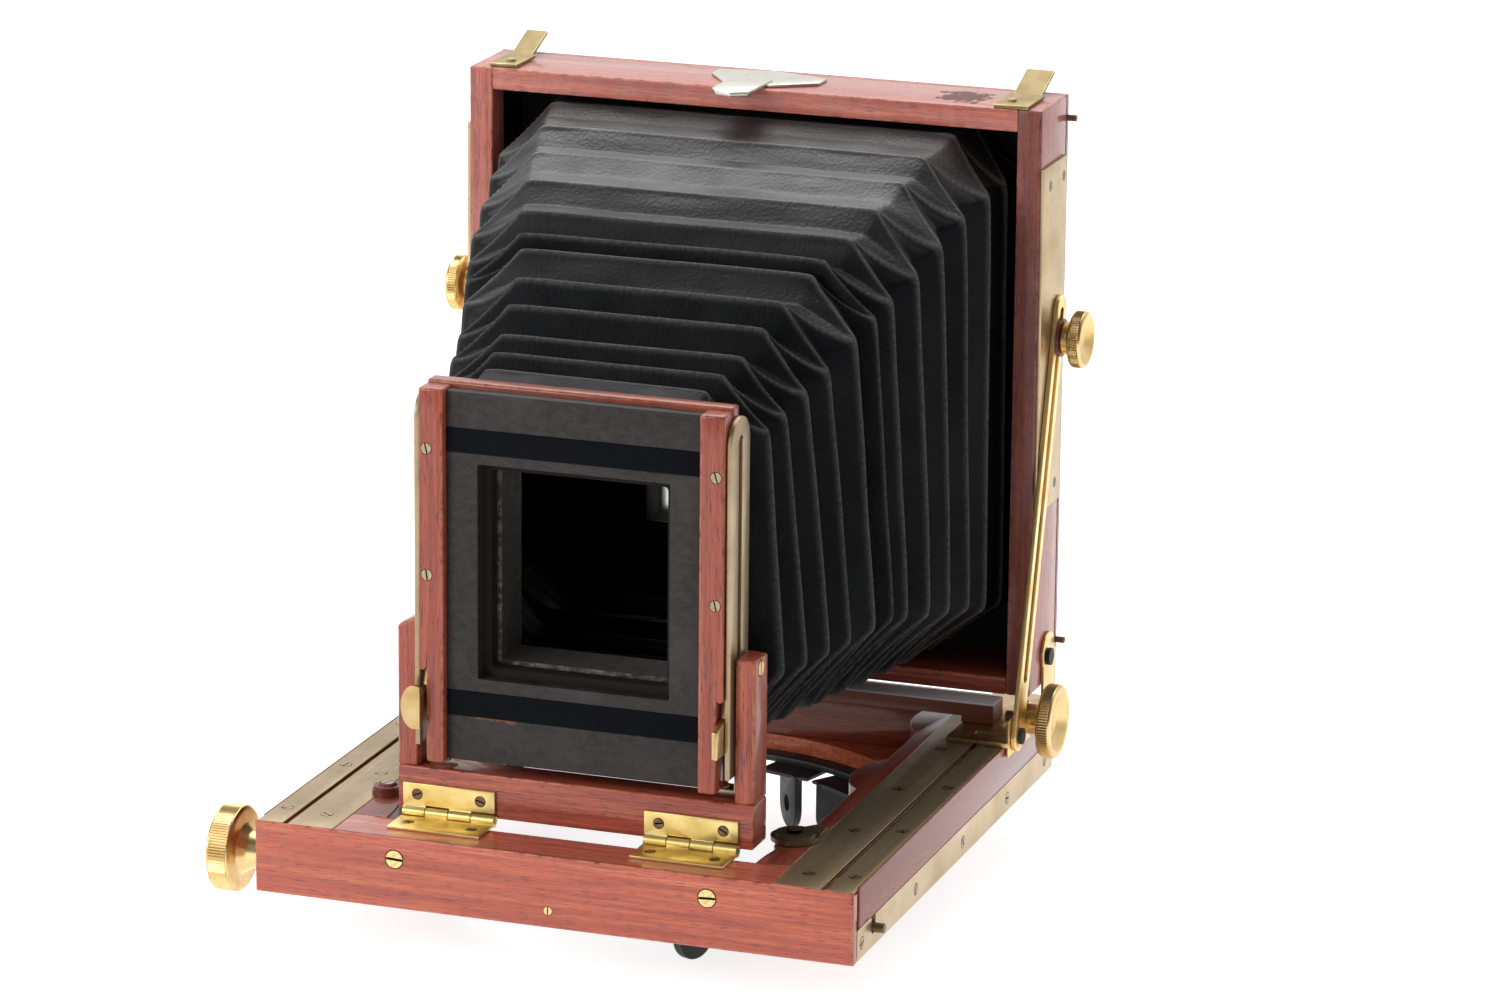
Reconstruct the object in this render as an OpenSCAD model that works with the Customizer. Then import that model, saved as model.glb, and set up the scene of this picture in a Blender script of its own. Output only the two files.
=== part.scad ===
// Plate camera on a rack-driven folding base.
// A brass turntable for three tripod legs carries the wooden base. The inner frame of the
// base slides forward by rack and pinion and carries the hinged front standard. The body
// stands on a carriage at the back, held upright by two slotted struts. Leather bellows
// join the lens frame to the body.
// The origin is on the turntable axis, at the underside of the wooden base.
// X runs across the camera, Y runs from the lens towards the focusing screen, Z is up.
// Lengths are in millimetres. Values named _y count from the front face of the base.

/* [Base] */
// Width across the outer rails
base_w = 205; // [200:1:210]
// Depth from the front bar to the rear edge
base_l = 219; // [215:1:225]
// Height of the wooden rails
base_h = 24.3; // [24:0.1:26]
// Width of each outer rail
rail_w = 9.4; // [9:0.1:10]
// Gap between an outer rail and the sliding inner rail
slide_gap = 1.6; // [1.4:0.1:1.8]
// Thickness of the brass strips let into the rails
strip_t = 1.2; // [0.8:0.1:1.4]
// Radius of the round opening in the bottom board
board_hole_r = 86.5; // [84:0.5:87]
// Thickness of the bottom board
board_t = 8; // [7:0.5:8]

/* [Turntable] */
// Outer radius of the ring
ring_r = 90; // [89:0.5:90]
// Width of the ring
ring_w = 10; // [8:0.5:11]
// Distance of each leg lug from the axis
lug_r = 75; // [73:0.5:76]
// Angle of the first leg
first_leg = 6; // [0:1:20]
// Half the angle between the two lugs of a leg
lug_half_angle = 51; // [49:0.5:52]
// Radius of the hole for a leg pin
lug_hole_r = 3; // [2:0.1:4]
// Depth of the lugs below the base
lug_drop = 20; // [16:1:24]

/* [Front standard] */
// Half the outer width of the front frame
u_half_w = 61.4; // [60:0.1:62]
// Thickness of the frame's arms
arm_w = 6.8; // [6:0.1:7]
// Half the width of the lens frame
lens_half_w = 52; // [50:0.5:52]
// Top of the lens frame above the base
lens_top = 171; // [165:1:175]
// Half the width of the lens opening
lens_hole_half_w = 32.7; // [28:0.5:34]
// Bottom of the lens opening
lens_hole_low = 74; // [72:0.5:78]
// Top of the lens opening
lens_hole_high = 145.5; // [140:0.5:146]

/* [Body] */
// Height of the top of the body above the base's underside
body_top_z = 238; // [230:1:240]
// Height of the underside of the body
body_low_z = 33.9; // [33.8:0.1:35]
// Front face of the body
body_y = 188.9; // [188.9:0.1:190]
// Thickness of the side boards
side_t = 8.3; // [7:0.1:9]

/* [Bellows] */
// Width of the card stiffener in each face of a pleat
card_w = 10.3; // [10.2:0.1:10.8]
// Thickness of the leather wall
leather_t = 1.2; // [0.8:0.1:1.3]

/* [Hidden] */
$fn = 48;
hx = base_w / 2;
outer_in = hx - rail_w;
inner_out = outer_in - slide_gap;
strip_in = 75.5;
rail_front_y = 7;
bar_depth = 18;
lip = 0.9;
strip_z = base_h - strip_t;
side_strip_h = 10.3;
cross_y = 196;
inner_low = 8.3;
inner_rear_y = 195;
hook_end = 195.5;
tongue_z = 13.9;
tongue_h = 4;
fit = 0.3;
ring_z = 0.3;
ring_t = 2.15;
rack_x = 76;
rack_w = 6;
gear_m = 0.5;
gear_n = 16;
gear_r = gear_m * gear_n / 2;
pinion_y = 21;
pinion_z = 6.4;
shaft_r = 1.6;
running = 0.05;
hinge_y = 22;
hinge_z = 26;
knuckle_r = 2.2;
hinge_l = 32;
hinge_xs = [-43.2, 40.4];
u_y = 22.5;
u_d = 12.3;
u_low = 26.6;
u_bar_top = 41.4;
arm_top = 89.3;
pivot_y = 28;
pivot_z = 86;
lens_y = 18;
lens_low = 44.5;
panel_half_w = 43.5;
bracket_in = 52.4;
bracket_t = 1.6;
foot_y = 28.4;
tab_y = 13.9;
carriage_y = 177.5;
body_pivot_y = 206.5;
body_pivot_z = 43.8;
body_back_y = 218.3;
strut_y = 169;
strut_z = 26.4;
strut_lean = 15.8;
strut_in = 103.95;
strut_t = 1.6;
stud_up = 135.7;
knob_y = 181;
knob_z = 29;
screen_y = 232.2;
peg_y = 219.8;
peg_zs = [46, 230];
peg_r = 1.1;
button_x = 68;
button_y = 44;
stud_x = 73;
stud_y = 41;
small_r = 1.5;
screen_pivot_y = 236.1;
screen_pivot_z = 67;
centre_z = 136;
plate_half_w = 47.7;
plate_half_h = 62;
glass_half_w = 51.5;
glass_half_h = 65;
screen_half_w = 64;
outer_screw_ys = [16, 64.5, 113, 161.5, 210];
inner_screw_ys = [14, 60, 106, 152];
side_screw_ys = [9.5, 65, 116, 166, 210];

WOOD = [0.58, 0.2, 0.13];
BRASS = [0.78, 0.62, 0.32];
DULL = [0.55, 0.47, 0.33];
DARK = [0.13, 0.13, 0.14];
LEATHER = [0.05, 0.05, 0.055];
FELT = [0.07, 0.08, 0.13];

// Everything is placed from the front face of the base, then moved to the turntable axis.
module from_front() {
  translate([0, -base_l / 2, 0]) children();
}

module left() {
  mirror([1, 0, 0]) children();
}

module both() {
  children();
  mirror([1, 0, 0]) children();
}

// A block given by its low corner and its high corner.
module block(low, high) {
  translate(low) cube([high[0] - low[0], high[1] - low[1], high[2] - low[2]]);
}

// A round bar along X from x0 to x1.
module bar_x(x0, x1, y, z, r) {
  translate([x0, y, z]) rotate([0, 90, 0]) cylinder(h = x1 - x0, r = r);
}

// A slotted screw whose head lies at z = 0 and whose shank points down.
module screw_blank(head_r, length) {
  translate([0, 0, -head_r * 0.5]) cylinder(h = head_r * 0.5, r1 = head_r * 0.5, r2 = head_r);
  translate([0, 0, -length]) cylinder(h = length - head_r * 0.5, r = head_r * 0.45);
}

module screw(head_r, length) {
  difference() {
    screw_blank(head_r, length);
    translate([-head_r * 1.2, -head_r * 0.09, -head_r * 0.22])
      cube([head_r * 2.4, head_r * 0.18, head_r]);
  }
}

// Places of the screws in the strips on top of the outer rails.
module outer_screw_places() {
  both() for (y = outer_screw_ys) translate([97.7, y, base_h]) children();
}

module inner_screw_places() {
  both() for (y = inner_screw_ys) translate([83, y, base_h]) children();
}

module side_screw_places() {
  both() for (y = side_screw_ys) translate([hx, y, 4.9]) rotate([0, 90, 0]) children();
}

module front_screw_places() {
  both() translate([53.6, 0, 16.8]) rotate([90, 0, 0]) children();
}

module stop_screw_place() {
  translate([-0.5, 0, 5.8]) rotate([90, 0, 0]) children();
}

// One outer rail, on the right. The groove guides the inner rail's tongue, and the narrow
// slot above it holds the carriage down.
module outer_rail() {
  difference() {
    block([outer_in, rail_front_y, 0], [hx, base_l, base_h]);
    block([outer_in - 1, 0, strip_z], [hx - 0.8, base_l + 1, base_h + 1]);
    block([hx - strip_t, 0, -1], [hx + 1, base_l + 1, side_strip_h]);
    block([outer_in - 1, 0, tongue_z - fit], [outer_in + 3.6, base_l + 1, tongue_z + tongue_h + fit]);
    block([outer_in - 1, 0, 19.2], [outer_in + 1.7, base_l + 1, 20.9]);
    bar_x(outer_in - 1, hx + 1, pinion_y, pinion_z, 3.2);
    for (y = outer_screw_ys) translate([97.7, y, base_h]) screw_blank(2.1, 4.5);
    for (y = side_screw_ys) translate([hx, y, 4.9]) rotate([0, 90, 0]) screw_blank(1.9, 5);
  }
}

module outer_rail_right() {
  color(WOOD) from_front() outer_rail();
}

module outer_rail_left() {
  color(WOOD) from_front() left() outer_rail();
}

module rear_cross_bar() {
  color(WOOD) from_front()
    block([-outer_in, cross_y, board_t], [outer_in, base_l, base_h - 0.3]);
}

// The bottom board, with the round opening and the rebate for the turntable ring.
module bottom_board() {
  color(WOOD) from_front() difference() {
    block([-outer_in, 27, 0], [outer_in, base_l, board_t]);
    translate([0, base_l / 2, -1]) cylinder(h = board_t + 2, r = board_hole_r, $fn = 96);
    translate([0, base_l / 2, -1]) cylinder(h = 3.5, r = ring_r + 0.4, $fn = 96);
  }
}

module outer_strips() {
  color(DULL) from_front() difference() {
    both() block([outer_in, 1, strip_z], [hx - 0.8, base_l, base_h]);
    outer_screw_places() screw_blank(2.1, 4.5);
  }
}

// The side strips are slotted upward where the pinion's shaft passes.
module side_strips() {
  color(DULL) from_front() difference() {
    both() block([hx - strip_t, 5, 0], [hx, base_l, side_strip_h]);
    both() bar_x(hx - 2, hx + 1, pinion_y, pinion_z, 2.1);
    both() block([hx - 2, pinion_y - 2.1, pinion_z], [hx + 1, pinion_y + 2.1, 12]);
    side_screw_places() screw_blank(1.9, 5);
  }
}

module pinion_bushes() {
  color(BRASS) from_front() difference() {
    both() bar_x(outer_in, hx - strip_t, pinion_y, pinion_z, 3.2);
    bar_x(-hx, hx, pinion_y, pinion_z, shaft_r + running);
  }
}

// Four round plates under the board keep the ring in its rebate.
module turntable_clips() {
  color(BRASS) from_front() translate([0, base_l / 2, -1.2])
    for (a = [36, 144, 216, 324]) rotate([0, 0, a]) translate([93, 0, 0]) cylinder(h = 1.2, r = 5);
}

module base_screws() {
  color(DULL) from_front() {
    outer_screw_places() screw(2.1, 4.5);
    side_screw_places() screw(1.9, 5);
  }
}

// The turntable: a ring with three pairs of lugs riveted under it. A tripod leg stands
// between the two lugs of a pair, on pins in their holes, which lie on one line.
module lug(side) {
  across = lug_r * sin(lug_half_angle);
  along = lug_r * cos(lug_half_angle);
  pin_z = 8.5 - lug_drop;
  flange_t = 1.2;
  difference() {
    union() {
      translate([along, side * across, 0]) {
        translate([-8.5, -1.5, pin_z]) cube([17, 3, ring_z - pin_z]);
        translate([0, 1.5, pin_z]) rotate([90, 0, 0]) cylinder(h = 3, r = 8.5);
      }
      rotate([0, 0, side * lug_half_angle])
        translate([lug_r - 5, -10, ring_z - flange_t]) cube([16.5, 20, flange_t]);
    }
    translate([along, side * across + 3, pin_z]) rotate([90, 0, 0])
      cylinder(h = 6, r = lug_hole_r);
  }
}

module leg_lugs() {
  color(DARK)
    for (k = [0:2]) for (side = [-1, 1]) rotate([0, 0, first_leg + 120 * k]) lug(side);
}

module turntable_ring() {
  color(DARK) difference() {
    translate([0, 0, ring_z]) cylinder(h = ring_t, r = ring_r, $fn = 96);
    cylinder(h = 6, r = ring_r - ring_w, $fn = 96);
  }
}

// The front bar of the sliding frame. Its ends cover the outer rails.
module front_bar() {
  color(WOOD) from_front() difference() {
    union() {
      block([-inner_out, 0, 0], [inner_out, bar_depth, base_h]);
      block([-hx, 0, 0], [hx, 4.4, strip_z - 0.1]);
      block([-hx, 0, 0], [hx, lip, base_h]);
    }
    both() block([strip_in, lip, strip_z], [inner_out + 1, bar_depth + 1, base_h + 1]);
    both() block([rack_x - 1, 15.5, -1], [rack_x + rack_w + 1, bar_depth + 1, 15]);
    front_screw_places() screw_blank(3.3, 14);
    stop_screw_place() screw_blank(1.6, 8);
    inner_screw_places() screw_blank(2.1, 4.5);
    hinge_screw_places_lower() screw_blank(1.9, 6);
  }
}

// Outline of an inner rail seen from above, with the shaped inner edge.
module inner_rail_outline() {
  polygon(concat([[inner_out, bar_depth], [inner_out, inner_rear_y], [66, inner_rear_y]],
    [for (y = [inner_rear_y:-3:bar_depth]) [inner_edge(y), y]]));
}

// Distance of the rail's inner edge from the middle: two bulges on a straight edge.
function inner_edge(y) = 69.5 - 6 * bump(y, 18, 26) - 5 * bump(y, 46, 12)
  - 6.5 * bump(y, 118, 16) - 6.5 * bump(y, 184, 16);
function bump(y, at, half) = abs(y - at) >= half ? 0 : pow(cos(90 * (y - at) / half), 0.6);

module inner_rail(hole_x, hole_y) {
  difference() {
    union() {
      translate([0, 0, inner_low]) linear_extrude(base_h - inner_low) inner_rail_outline();
      block([inner_out - 1, bar_depth, tongue_z], [outer_in + 3.3, inner_rear_y, tongue_z + tongue_h]);
    }
    block([strip_in, lip, strip_z], [inner_out + 1, inner_rear_y + 1, base_h + 1]);
    block([rack_x - 0.2, bar_depth - 1, 0], [rack_x + rack_w + 0.2, 151, 13.1]);
    inner_screw_places() screw_blank(2.1, 4.5);
    translate([hole_x, hole_y, base_h - 7]) cylinder(h = 8, r = small_r);
  }
}

module inner_rail_right() {
  color(WOOD) from_front() inner_rail(button_x, button_y);
}

module inner_rail_left() {
  color(WOOD) from_front() left() inner_rail(stud_x, stud_y);
}

module inner_strips() {
  color(DULL) from_front() difference() {
    both() block([strip_in, lip, strip_z], [inner_out - 0.2, inner_rear_y, base_h]);
    inner_screw_places() screw_blank(2.1, 4.5);
  }
}

// The racks have straight-sided teeth that point down and mesh with the pinions.
module racks() {
  pitch = PI * gear_m;
  first = pinion_y + pitch / 2;
  color(DULL) from_front() both() {
    block([rack_x, bar_depth, 11.05], [rack_x + rack_w, 150, 13.1]);
    for (k = [-1:81]) translate([rack_x, first + k * pitch, 11.05])
      rotate([90, 0, 90]) linear_extrude(rack_w)
        polygon([[-0.52, 0.1], [-0.14, -1.1], [0.14, -1.1], [0.52, 0.1]]);
  }
}

// Places of the two screws in each leaf that lies on the front bar.
module hinge_screw_places_lower() {
  for (x = hinge_xs) for (s = [-1, 1]) translate([x + s * 11, 13.5, base_h + 1]) children();
}

module hinge_screw_places_upper() {
  for (x = hinge_xs) for (s = [-1, 1])
    translate([x + s * 11, u_y - 1.2, 32.3]) rotate([90, 0, 0]) children();
}

// Knuckles number 1 and 3 belong to the upper leaf, 2 and 4 to the lower one.
module knuckles(x, first) {
  part = hinge_l / 4;
  for (k = [first, first + 2])
    bar_x(x - hinge_l / 2 + k * part + 0.15, x - hinge_l / 2 + (k + 1) * part - 0.15,
      hinge_y, hinge_z, knuckle_r);
}

module hinge_leaves_lower() {
  part = hinge_l / 4;
  color(BRASS) from_front() difference() {
    for (x = hinge_xs) union() {
      block([x - hinge_l / 2, 7.5, base_h], [x + hinge_l / 2, 19.4, base_h + 1]);
      for (k = [1, 3]) block([x - hinge_l / 2 + k * part + 0.15, 19, base_h],
        [x - hinge_l / 2 + (k + 1) * part - 0.15, hinge_y, base_h + 1]);
      knuckles(x, 1);
    }
    bar_x(-70, 70, hinge_y, hinge_z, 1);
    hinge_screw_places_lower() screw_blank(1.9, 6);
  }
}

module hinge_leaves_upper() {
  part = hinge_l / 4;
  color(BRASS) from_front() difference() {
    for (x = hinge_xs) union() {
      block([x - hinge_l / 2, u_y - 1.2, 28.6], [x + hinge_l / 2, u_y, 36]);
      for (k = [0, 2]) block([x - hinge_l / 2 + k * part + 0.15, u_y - 1.2, hinge_z],
        [x - hinge_l / 2 + (k + 1) * part - 0.15, u_y, 29]);
      knuckles(x, 0);
    }
    bar_x(-70, 70, hinge_y, hinge_z, 1 + running);
    hinge_screw_places_upper() screw_blank(1.9, 6);
  }
}

module hinge_pins() {
  color(DULL) from_front()
    for (x = hinge_xs) bar_x(x - hinge_l / 2, x + hinge_l / 2, hinge_y, hinge_z, 1);
}

module extension_screws() {
  color(DULL) from_front() {
    front_screw_places() screw(3.3, 14);
    stop_screw_place() screw(1.6, 8);
    inner_screw_places() screw(2.1, 4.5);
    hinge_screw_places_lower() screw(1.9, 6);
    translate([button_x, button_y, base_h - 7]) cylinder(h = 9.7, r = small_r);
    translate([button_x, button_y, base_h + 2.7]) cylinder(h = 1.1, r1 = 3.2, r2 = 2.6);
  }
}

// Two fibre discs under a screw, on the left inner rail.
module rest_stud() {
  color(WOOD) from_front() translate([-stud_x, stud_y, base_h]) {
    cylinder(h = 1.7, r = 5);
    translate([0, 0, 1.7]) cylinder(h = 1.3, r = 4.4);
    translate([0, 0, 3]) cylinder(h = 0.8, r1 = 3.4, r2 = 2.6);
    translate([0, 0, -7]) cylinder(h = 8, r = small_r);
  }
}

// The turn button on the right inner rail turns about its screw.
module turn_button() {
  color(DULL) from_front() translate([button_x, button_y, base_h]) difference() {
    union() {
      translate([0, 0, 0.3]) cylinder(h = 1.4, r = 8);
      translate([0, 0, 1.7]) cylinder(h = 0.9, r = 6.6);
      translate([0, 0, 0.3]) linear_extrude(1.4)
        polygon([[-4, 3], [3, 12.5], [7.5, 11.5], [7.5, 1]]);
    }
    translate([0, 0, -1]) cylinder(h = 5, r = small_r + running);
  }
}

// One pinion. Its teeth are narrower than the rack's gaps, so that it runs freely.
module pinion() {
  linear_extrude(rack_w) {
    circle(r = gear_r - 0.65);
    for (k = [0:gear_n - 1]) rotate(90 + 360 * k / gear_n)
      polygon([[gear_r - 0.9, -0.45], [gear_r - 0.9, 0.45], [gear_r, 0.3],
        [gear_r + 0.4, 0.13], [gear_r + 0.4, -0.13], [gear_r, -0.3]]);
  }
}

module pinion_shaft() {
  color(DULL) from_front() {
    bar_x(-113, 109.5, pinion_y, pinion_z, shaft_r);
    for (x = [rack_x, -rack_x - rack_w])
      translate([x, pinion_y, pinion_z]) rotate([90, 0, 90]) pinion();
  }
}

module focus_knob() {
  color(BRASS) from_front() translate([0, pinion_y, pinion_z]) rotate([0, -90, 0])
    difference() {
      rotate_extrude($fn = 96) polygon([[shaft_r, 103.4], [5.6, 103.4], [5.6, 108],
        [6.4, 112.5], [8.5, 115.3], [13.2, 115.3], [14.4, 116.2], [14.4, 122.9], [13.6, 123.7],
        [10.5, 123.7], [8.5, 122.6], [0, 122.2], [0, 113], [shaft_r, 113]]);
    }
}

// The front frame: a bottom bar and two arms.
module u_bottom_bar() {
  color(WOOD) from_front() difference() {
    block([-u_half_w, u_y, u_low], [u_half_w, u_y + u_d, u_bar_top]);
    for (x = hinge_xs) bar_x(x - hinge_l / 2 - 0.3, x + hinge_l / 2 + 0.3, hinge_y, hinge_z, 2.5);
    hinge_screw_places_upper() screw_blank(1.9, 6);
  }
}

module u_arm(top_out, top_in) {
  difference() {
    translate([0, u_y + u_d, 0]) rotate([90, 0, 0]) linear_extrude(u_d)
      polygon([[u_half_w - arm_w, u_bar_top], [u_half_w, u_bar_top], [u_half_w, top_out],
        [u_half_w - arm_w, top_in]]);
    pivot_screw_blank();
  }
}

module u_arm_right() {
  color(WOOD) from_front() u_arm(arm_top, arm_top + 0.4);
}

module u_arm_left() {
  color(WOOD) from_front() left() u_arm(arm_top - 0.6, arm_top + 3);
}

// The screw that goes through an arm, the bracket's slot and the clamping lever.
module pivot_screw_blank() {
  translate([u_half_w, pivot_y, pivot_z]) rotate([0, 90, 0]) screw_blank(2.8, 4);
  bar_x(50.2, u_half_w - 2, pivot_y, pivot_z, 1.2);
}

module u_screws() {
  color(DULL) from_front() {
    both() difference() {
      pivot_screw_blank();
      block([u_half_w - 0.6, pivot_y - 0.25, 80], [u_half_w + 1, pivot_y + 0.25, 92]);
    }
    hinge_screw_places_upper() screw(1.9, 6);
  }
}

// The inner leg of a clamping lever, which goes forward through the lens frame's notch.
module lever_leg(front) {
  translate([50.2, 0, 0]) rotate([90, 0, 90]) linear_extrude(1.9) difference() {
    union() {
      translate([pivot_y, pivot_z]) circle(r = 3.6);
      polygon([[24.6, 87], [23, 78], [21.2, 70], [front, 67.5], [front, 58.5], [21.2, 58.5],
        [24.4, 70], [25.9, 78], [30, 83.2]]);
    }
    translate([pivot_y, pivot_z]) circle(r = 1.2 + running);
  }
}

module clamp_lever_right() {
  color(BRASS) from_front() lever_leg(13);
}

// The left lever ends in a half-round tab that is bent outwards in front of the arm.
module clamp_lever_left() {
  color(BRASS) from_front() left() {
    lever_leg(tab_y);
    intersection() {
      translate([52.6, tab_y + 1.6, 64.2]) rotate([90, 0, 0]) cylinder(h = 1.6, r = 7.3);
      block([50.2, tab_y - 1, 56], [62, tab_y + 2, 72]);
    }
  }
}

module slot_bushes() {
  color(BRASS) from_front() both() difference() {
    bar_x(52.3, 54.3, pivot_y, pivot_z, 1.7);
    bar_x(52, 55, pivot_y, pivot_z, 1.2 + running);
  }
}

// Room for the clamping levers, cut into the lower outer corners of the lens frame.
module lever_room() {
  both() block([49.7, 20.5, 40], [60, 40, 92]);
  both() block([49.7, 10, 40], [60, 21, 76]);
}

module lens_rear_frame() {
  color(WOOD) from_front() difference() {
    block([-lens_half_w, 26, lens_low], [lens_half_w, 32, lens_top]);
    block([2.7 - lens_hole_half_w, 20, lens_hole_low + 2.7],
      [lens_hole_half_w - 2.7, 40, lens_hole_high - 2.7]);
    lever_room();
  }
}

module lens_panel() {
  color([0.16, 0.15, 0.14]) from_front() difference() {
    block([-panel_half_w, 21, 46], [panel_half_w, 26, lens_top - 2]);
    block([-lens_hole_half_w, 20, lens_hole_low], [lens_hole_half_w, 27, lens_hole_high]);
    block([-panel_half_w - 1, 20, 149], [panel_half_w + 1, 22, 157]);
    block([-panel_half_w - 1, 20, 61], [panel_half_w + 1, 22, 69.5]);
  }
}

module felt_bands() {
  color(FELT) from_front() {
    block([-panel_half_w, 20.8, 149], [panel_half_w, 22, 157]);
    block([-panel_half_w, 20.8, 61], [panel_half_w, 22, 69.5]);
  }
}

module lens_screw_places() {
  both() for (z = [108, 150]) translate([49.2, lens_y, z]) rotate([90, 0, 0]) children();
}

module guide_strip() {
  difference() {
    block([panel_half_w, lens_y, lens_low + 0.5], [lens_half_w, 26, lens_top - 1]);
    lever_room();
    lens_screw_places() screw_blank(2, 7);
  }
}

module guide_strips() {
  color(WOOD) from_front() both() guide_strip();
}

module lens_screws() {
  color(DULL) from_front() lens_screw_places() screw(2, 7);
}

// A slotted bracket that guides the lens frame on the arm's screw, with a foot that is bent
// under the frame.
module bracket() {
  low = 42.3;
  round_r = 8.5;
  translate([bracket_in, 0, 0]) rotate([90, 0, 90]) linear_extrude(bracket_t) difference() {
    union() {
      translate([pivot_y - round_r, 50]) square([2 * round_r, 168 - 50 - round_r]);
      translate([pivot_y, 168 - round_r]) circle(r = round_r);
      translate([foot_y, low]) square([7, 12]);
    }
    translate([pivot_y - 1.8, 52.2]) square([3.6, 108]);
    translate([pivot_y, 52.2]) circle(r = 1.8);
    translate([pivot_y, 160.2]) circle(r = 1.8);
  }
  block([46, foot_y, low], [bracket_in + 0.1, foot_y + 7, low + 1.6]);
  block([bracket_in - 0.4, pivot_y - 6, 120], [bracket_in, pivot_y - 4, 165]);
  block([46.5, foot_y + 1, low + 1.5], [49.5, foot_y + 3.6, lens_low]);
}

module brackets() {
  color(DULL) from_front() both() bracket();
}

// The carriage slides on the outer rails and carries the body.
module carriage_board() {
  color(WOOD) from_front() {
    block([-93.4, carriage_y, 28.5], [93.4, 188.5, 33.5]);
    both() block([82, carriage_y, 26], [93.4, 188.5, 28.5]);
  }
}

// Brass plates under the carriage, with ears outside the rails for the knob, the struts and
// the body's pivots, and a hook that holds the carriage down.
module carriage_plates() {
  ear_in = 102.75;
  ear_out = 103.75;
  color(BRASS) from_front() both() difference() {
    union() {
      block([82, 160, 24.45], [ear_out, 218, 26]);
      block([ear_in, 162, 20.5], [ear_out, 187, 33.5]);
      block([ear_in, 202.5, 20.5], [ear_out, 216.5, 45]);
      bar_x(ear_in, ear_out, body_pivot_y + 1.5, 45, 7);
      block([inner_out + 0.3, 165, 19.6], [outer_in - 0.3, hook_end, 24.6]);
      block([inner_out + 0.3, 165, 19.6], [outer_in + 1.4, hook_end, 20.5]);
    }
    bar_x(90, 110, strut_y, strut_z, 1.5);
    bar_x(90, 110, knob_y, knob_z, 2 + running);
    bar_x(90, 110, body_pivot_y, body_pivot_z, 1.8 + running);
  }
}

// Fixed screws that the struts turn on.
module carriage_screws() {
  color(DARK) from_front() both() {
    bar_x(102.8, strut_in + strut_t + 0.1, strut_y, strut_z, 1.5);
    bar_x(strut_in + strut_t + 0.1, strut_in + strut_t + 1.3, strut_y, strut_z, 2.8);
  }
}

module rear_knob() {
  color(BRASS) from_front() translate([0, knob_y, knob_z]) rotate([0, 90, 0])
    rotate_extrude($fn = 96) polygon([[0, 97], [2, 97], [2, 103.9], [5.2, 103.9], [5.2, 109],
      [7, 110.6], [11.8, 110.6], [12.7, 111.5], [12.7, 115.2], [11.9, 116], [10.4, 116],
      [6, 112.8], [0, 112]]);
}

module body_screw_places() {
  both() for (p = [[197.4, 211], [213, 211.5], [210, 105]])
    translate([hx + 1.2, p[0], p[1]]) rotate([0, 90, 0]) children();
}

module body_side() {
  difference() {
    block([hx - side_t, body_y, body_low_z], [hx, body_back_y, body_top_z]);
    bar_x(hx - 6, hx + 1, body_pivot_y, body_pivot_z, 1.8);
    body_screw_places() screw_blank(1.9, 6);
  }
}

module body_side_right() {
  color(WOOD) from_front() body_side();
}

module body_side_left() {
  color(WOOD) from_front() left() body_side();
}

module body_top() {
  color(WOOD) from_front() difference() {
    block([side_t - hx, body_y, body_top_z - 7.6], [hx - side_t, body_back_y, body_top_z]);
    both() translate([90, 196, body_top_z]) screw_blank(1.6, 5);
    translate([-9, 205, body_top_z]) screw_blank(1.6, 5);
    translate([9, 205, body_top_z]) screw_blank(1.6, 5);
  }
}

module body_bottom() {
  color(WOOD) from_front()
    block([side_t - hx, body_y, body_low_z], [hx - side_t, body_back_y, body_low_z + 6.1]);
}

// Brass plates on the sides, where the struts are clamped, and brass lugs on the back with
// the pins that the focusing screen opens on.
module body_plates() {
  color(DULL) from_front() both() {
    difference() {
      translate([hx, 0, 0]) rotate([90, 0, 90]) linear_extrude(1.2)
        polygon([[189.5, 202], [189.5, 218], [216.5, 218], [216.5, 98], [203, 98], [203, 180]]);
      body_screw_places() screw_blank(1.9, 6);
    }
    block([screen_half_w + fit, 232, 61], [screen_half_w + 1.8, 240.5, 73]);
    bar_x(screen_half_w - 6, screen_half_w + 0.4, screen_pivot_y, screen_pivot_z, 1.5);
  }
}

// Screws in the plates, the round-headed screws that the body tilts on, and the two pegs on
// the right that lock the back.
module body_screws() {
  color(DARK) from_front() {
    body_screw_places() screw(1.9, 6);
    both() bar_x(hx - 6, 104, body_pivot_y, body_pivot_z, 1.8);
    both() bar_x(104, 105.2, body_pivot_y, body_pivot_z, 3);
    both() translate([90, 196, body_top_z]) screw_blank(1.6, 5);
    both() translate([90, 196, body_top_z]) cylinder(h = 2.2, r = 1.5);
    for (z = peg_zs) bar_x(hx - 4, hx + 3.2, peg_y, z, peg_r);
  }
}

// The middle catch: a plate on the top with a tongue that points forward.
module centre_catch() {
  color([0.6, 0.6, 0.58]) from_front() {
    translate([0, 0, body_top_z]) linear_extrude(1)
      polygon([[-11, 192], [-20, 205], [-20, 212], [0, 215.6], [20, 210], [20, 201], [6, 192]]);
    translate([0, 0, body_top_z]) linear_extrude(1.6)
      polygon([[-10.5, 198], [-10.4, 178], [-8, 174.5], [-2, 173], [3.5, 176], [4.5, 198]]);
    for (x = [-9, 9]) translate([x, 205, body_top_z]) screw_blank(1.6, 5);
  }
}

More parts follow.
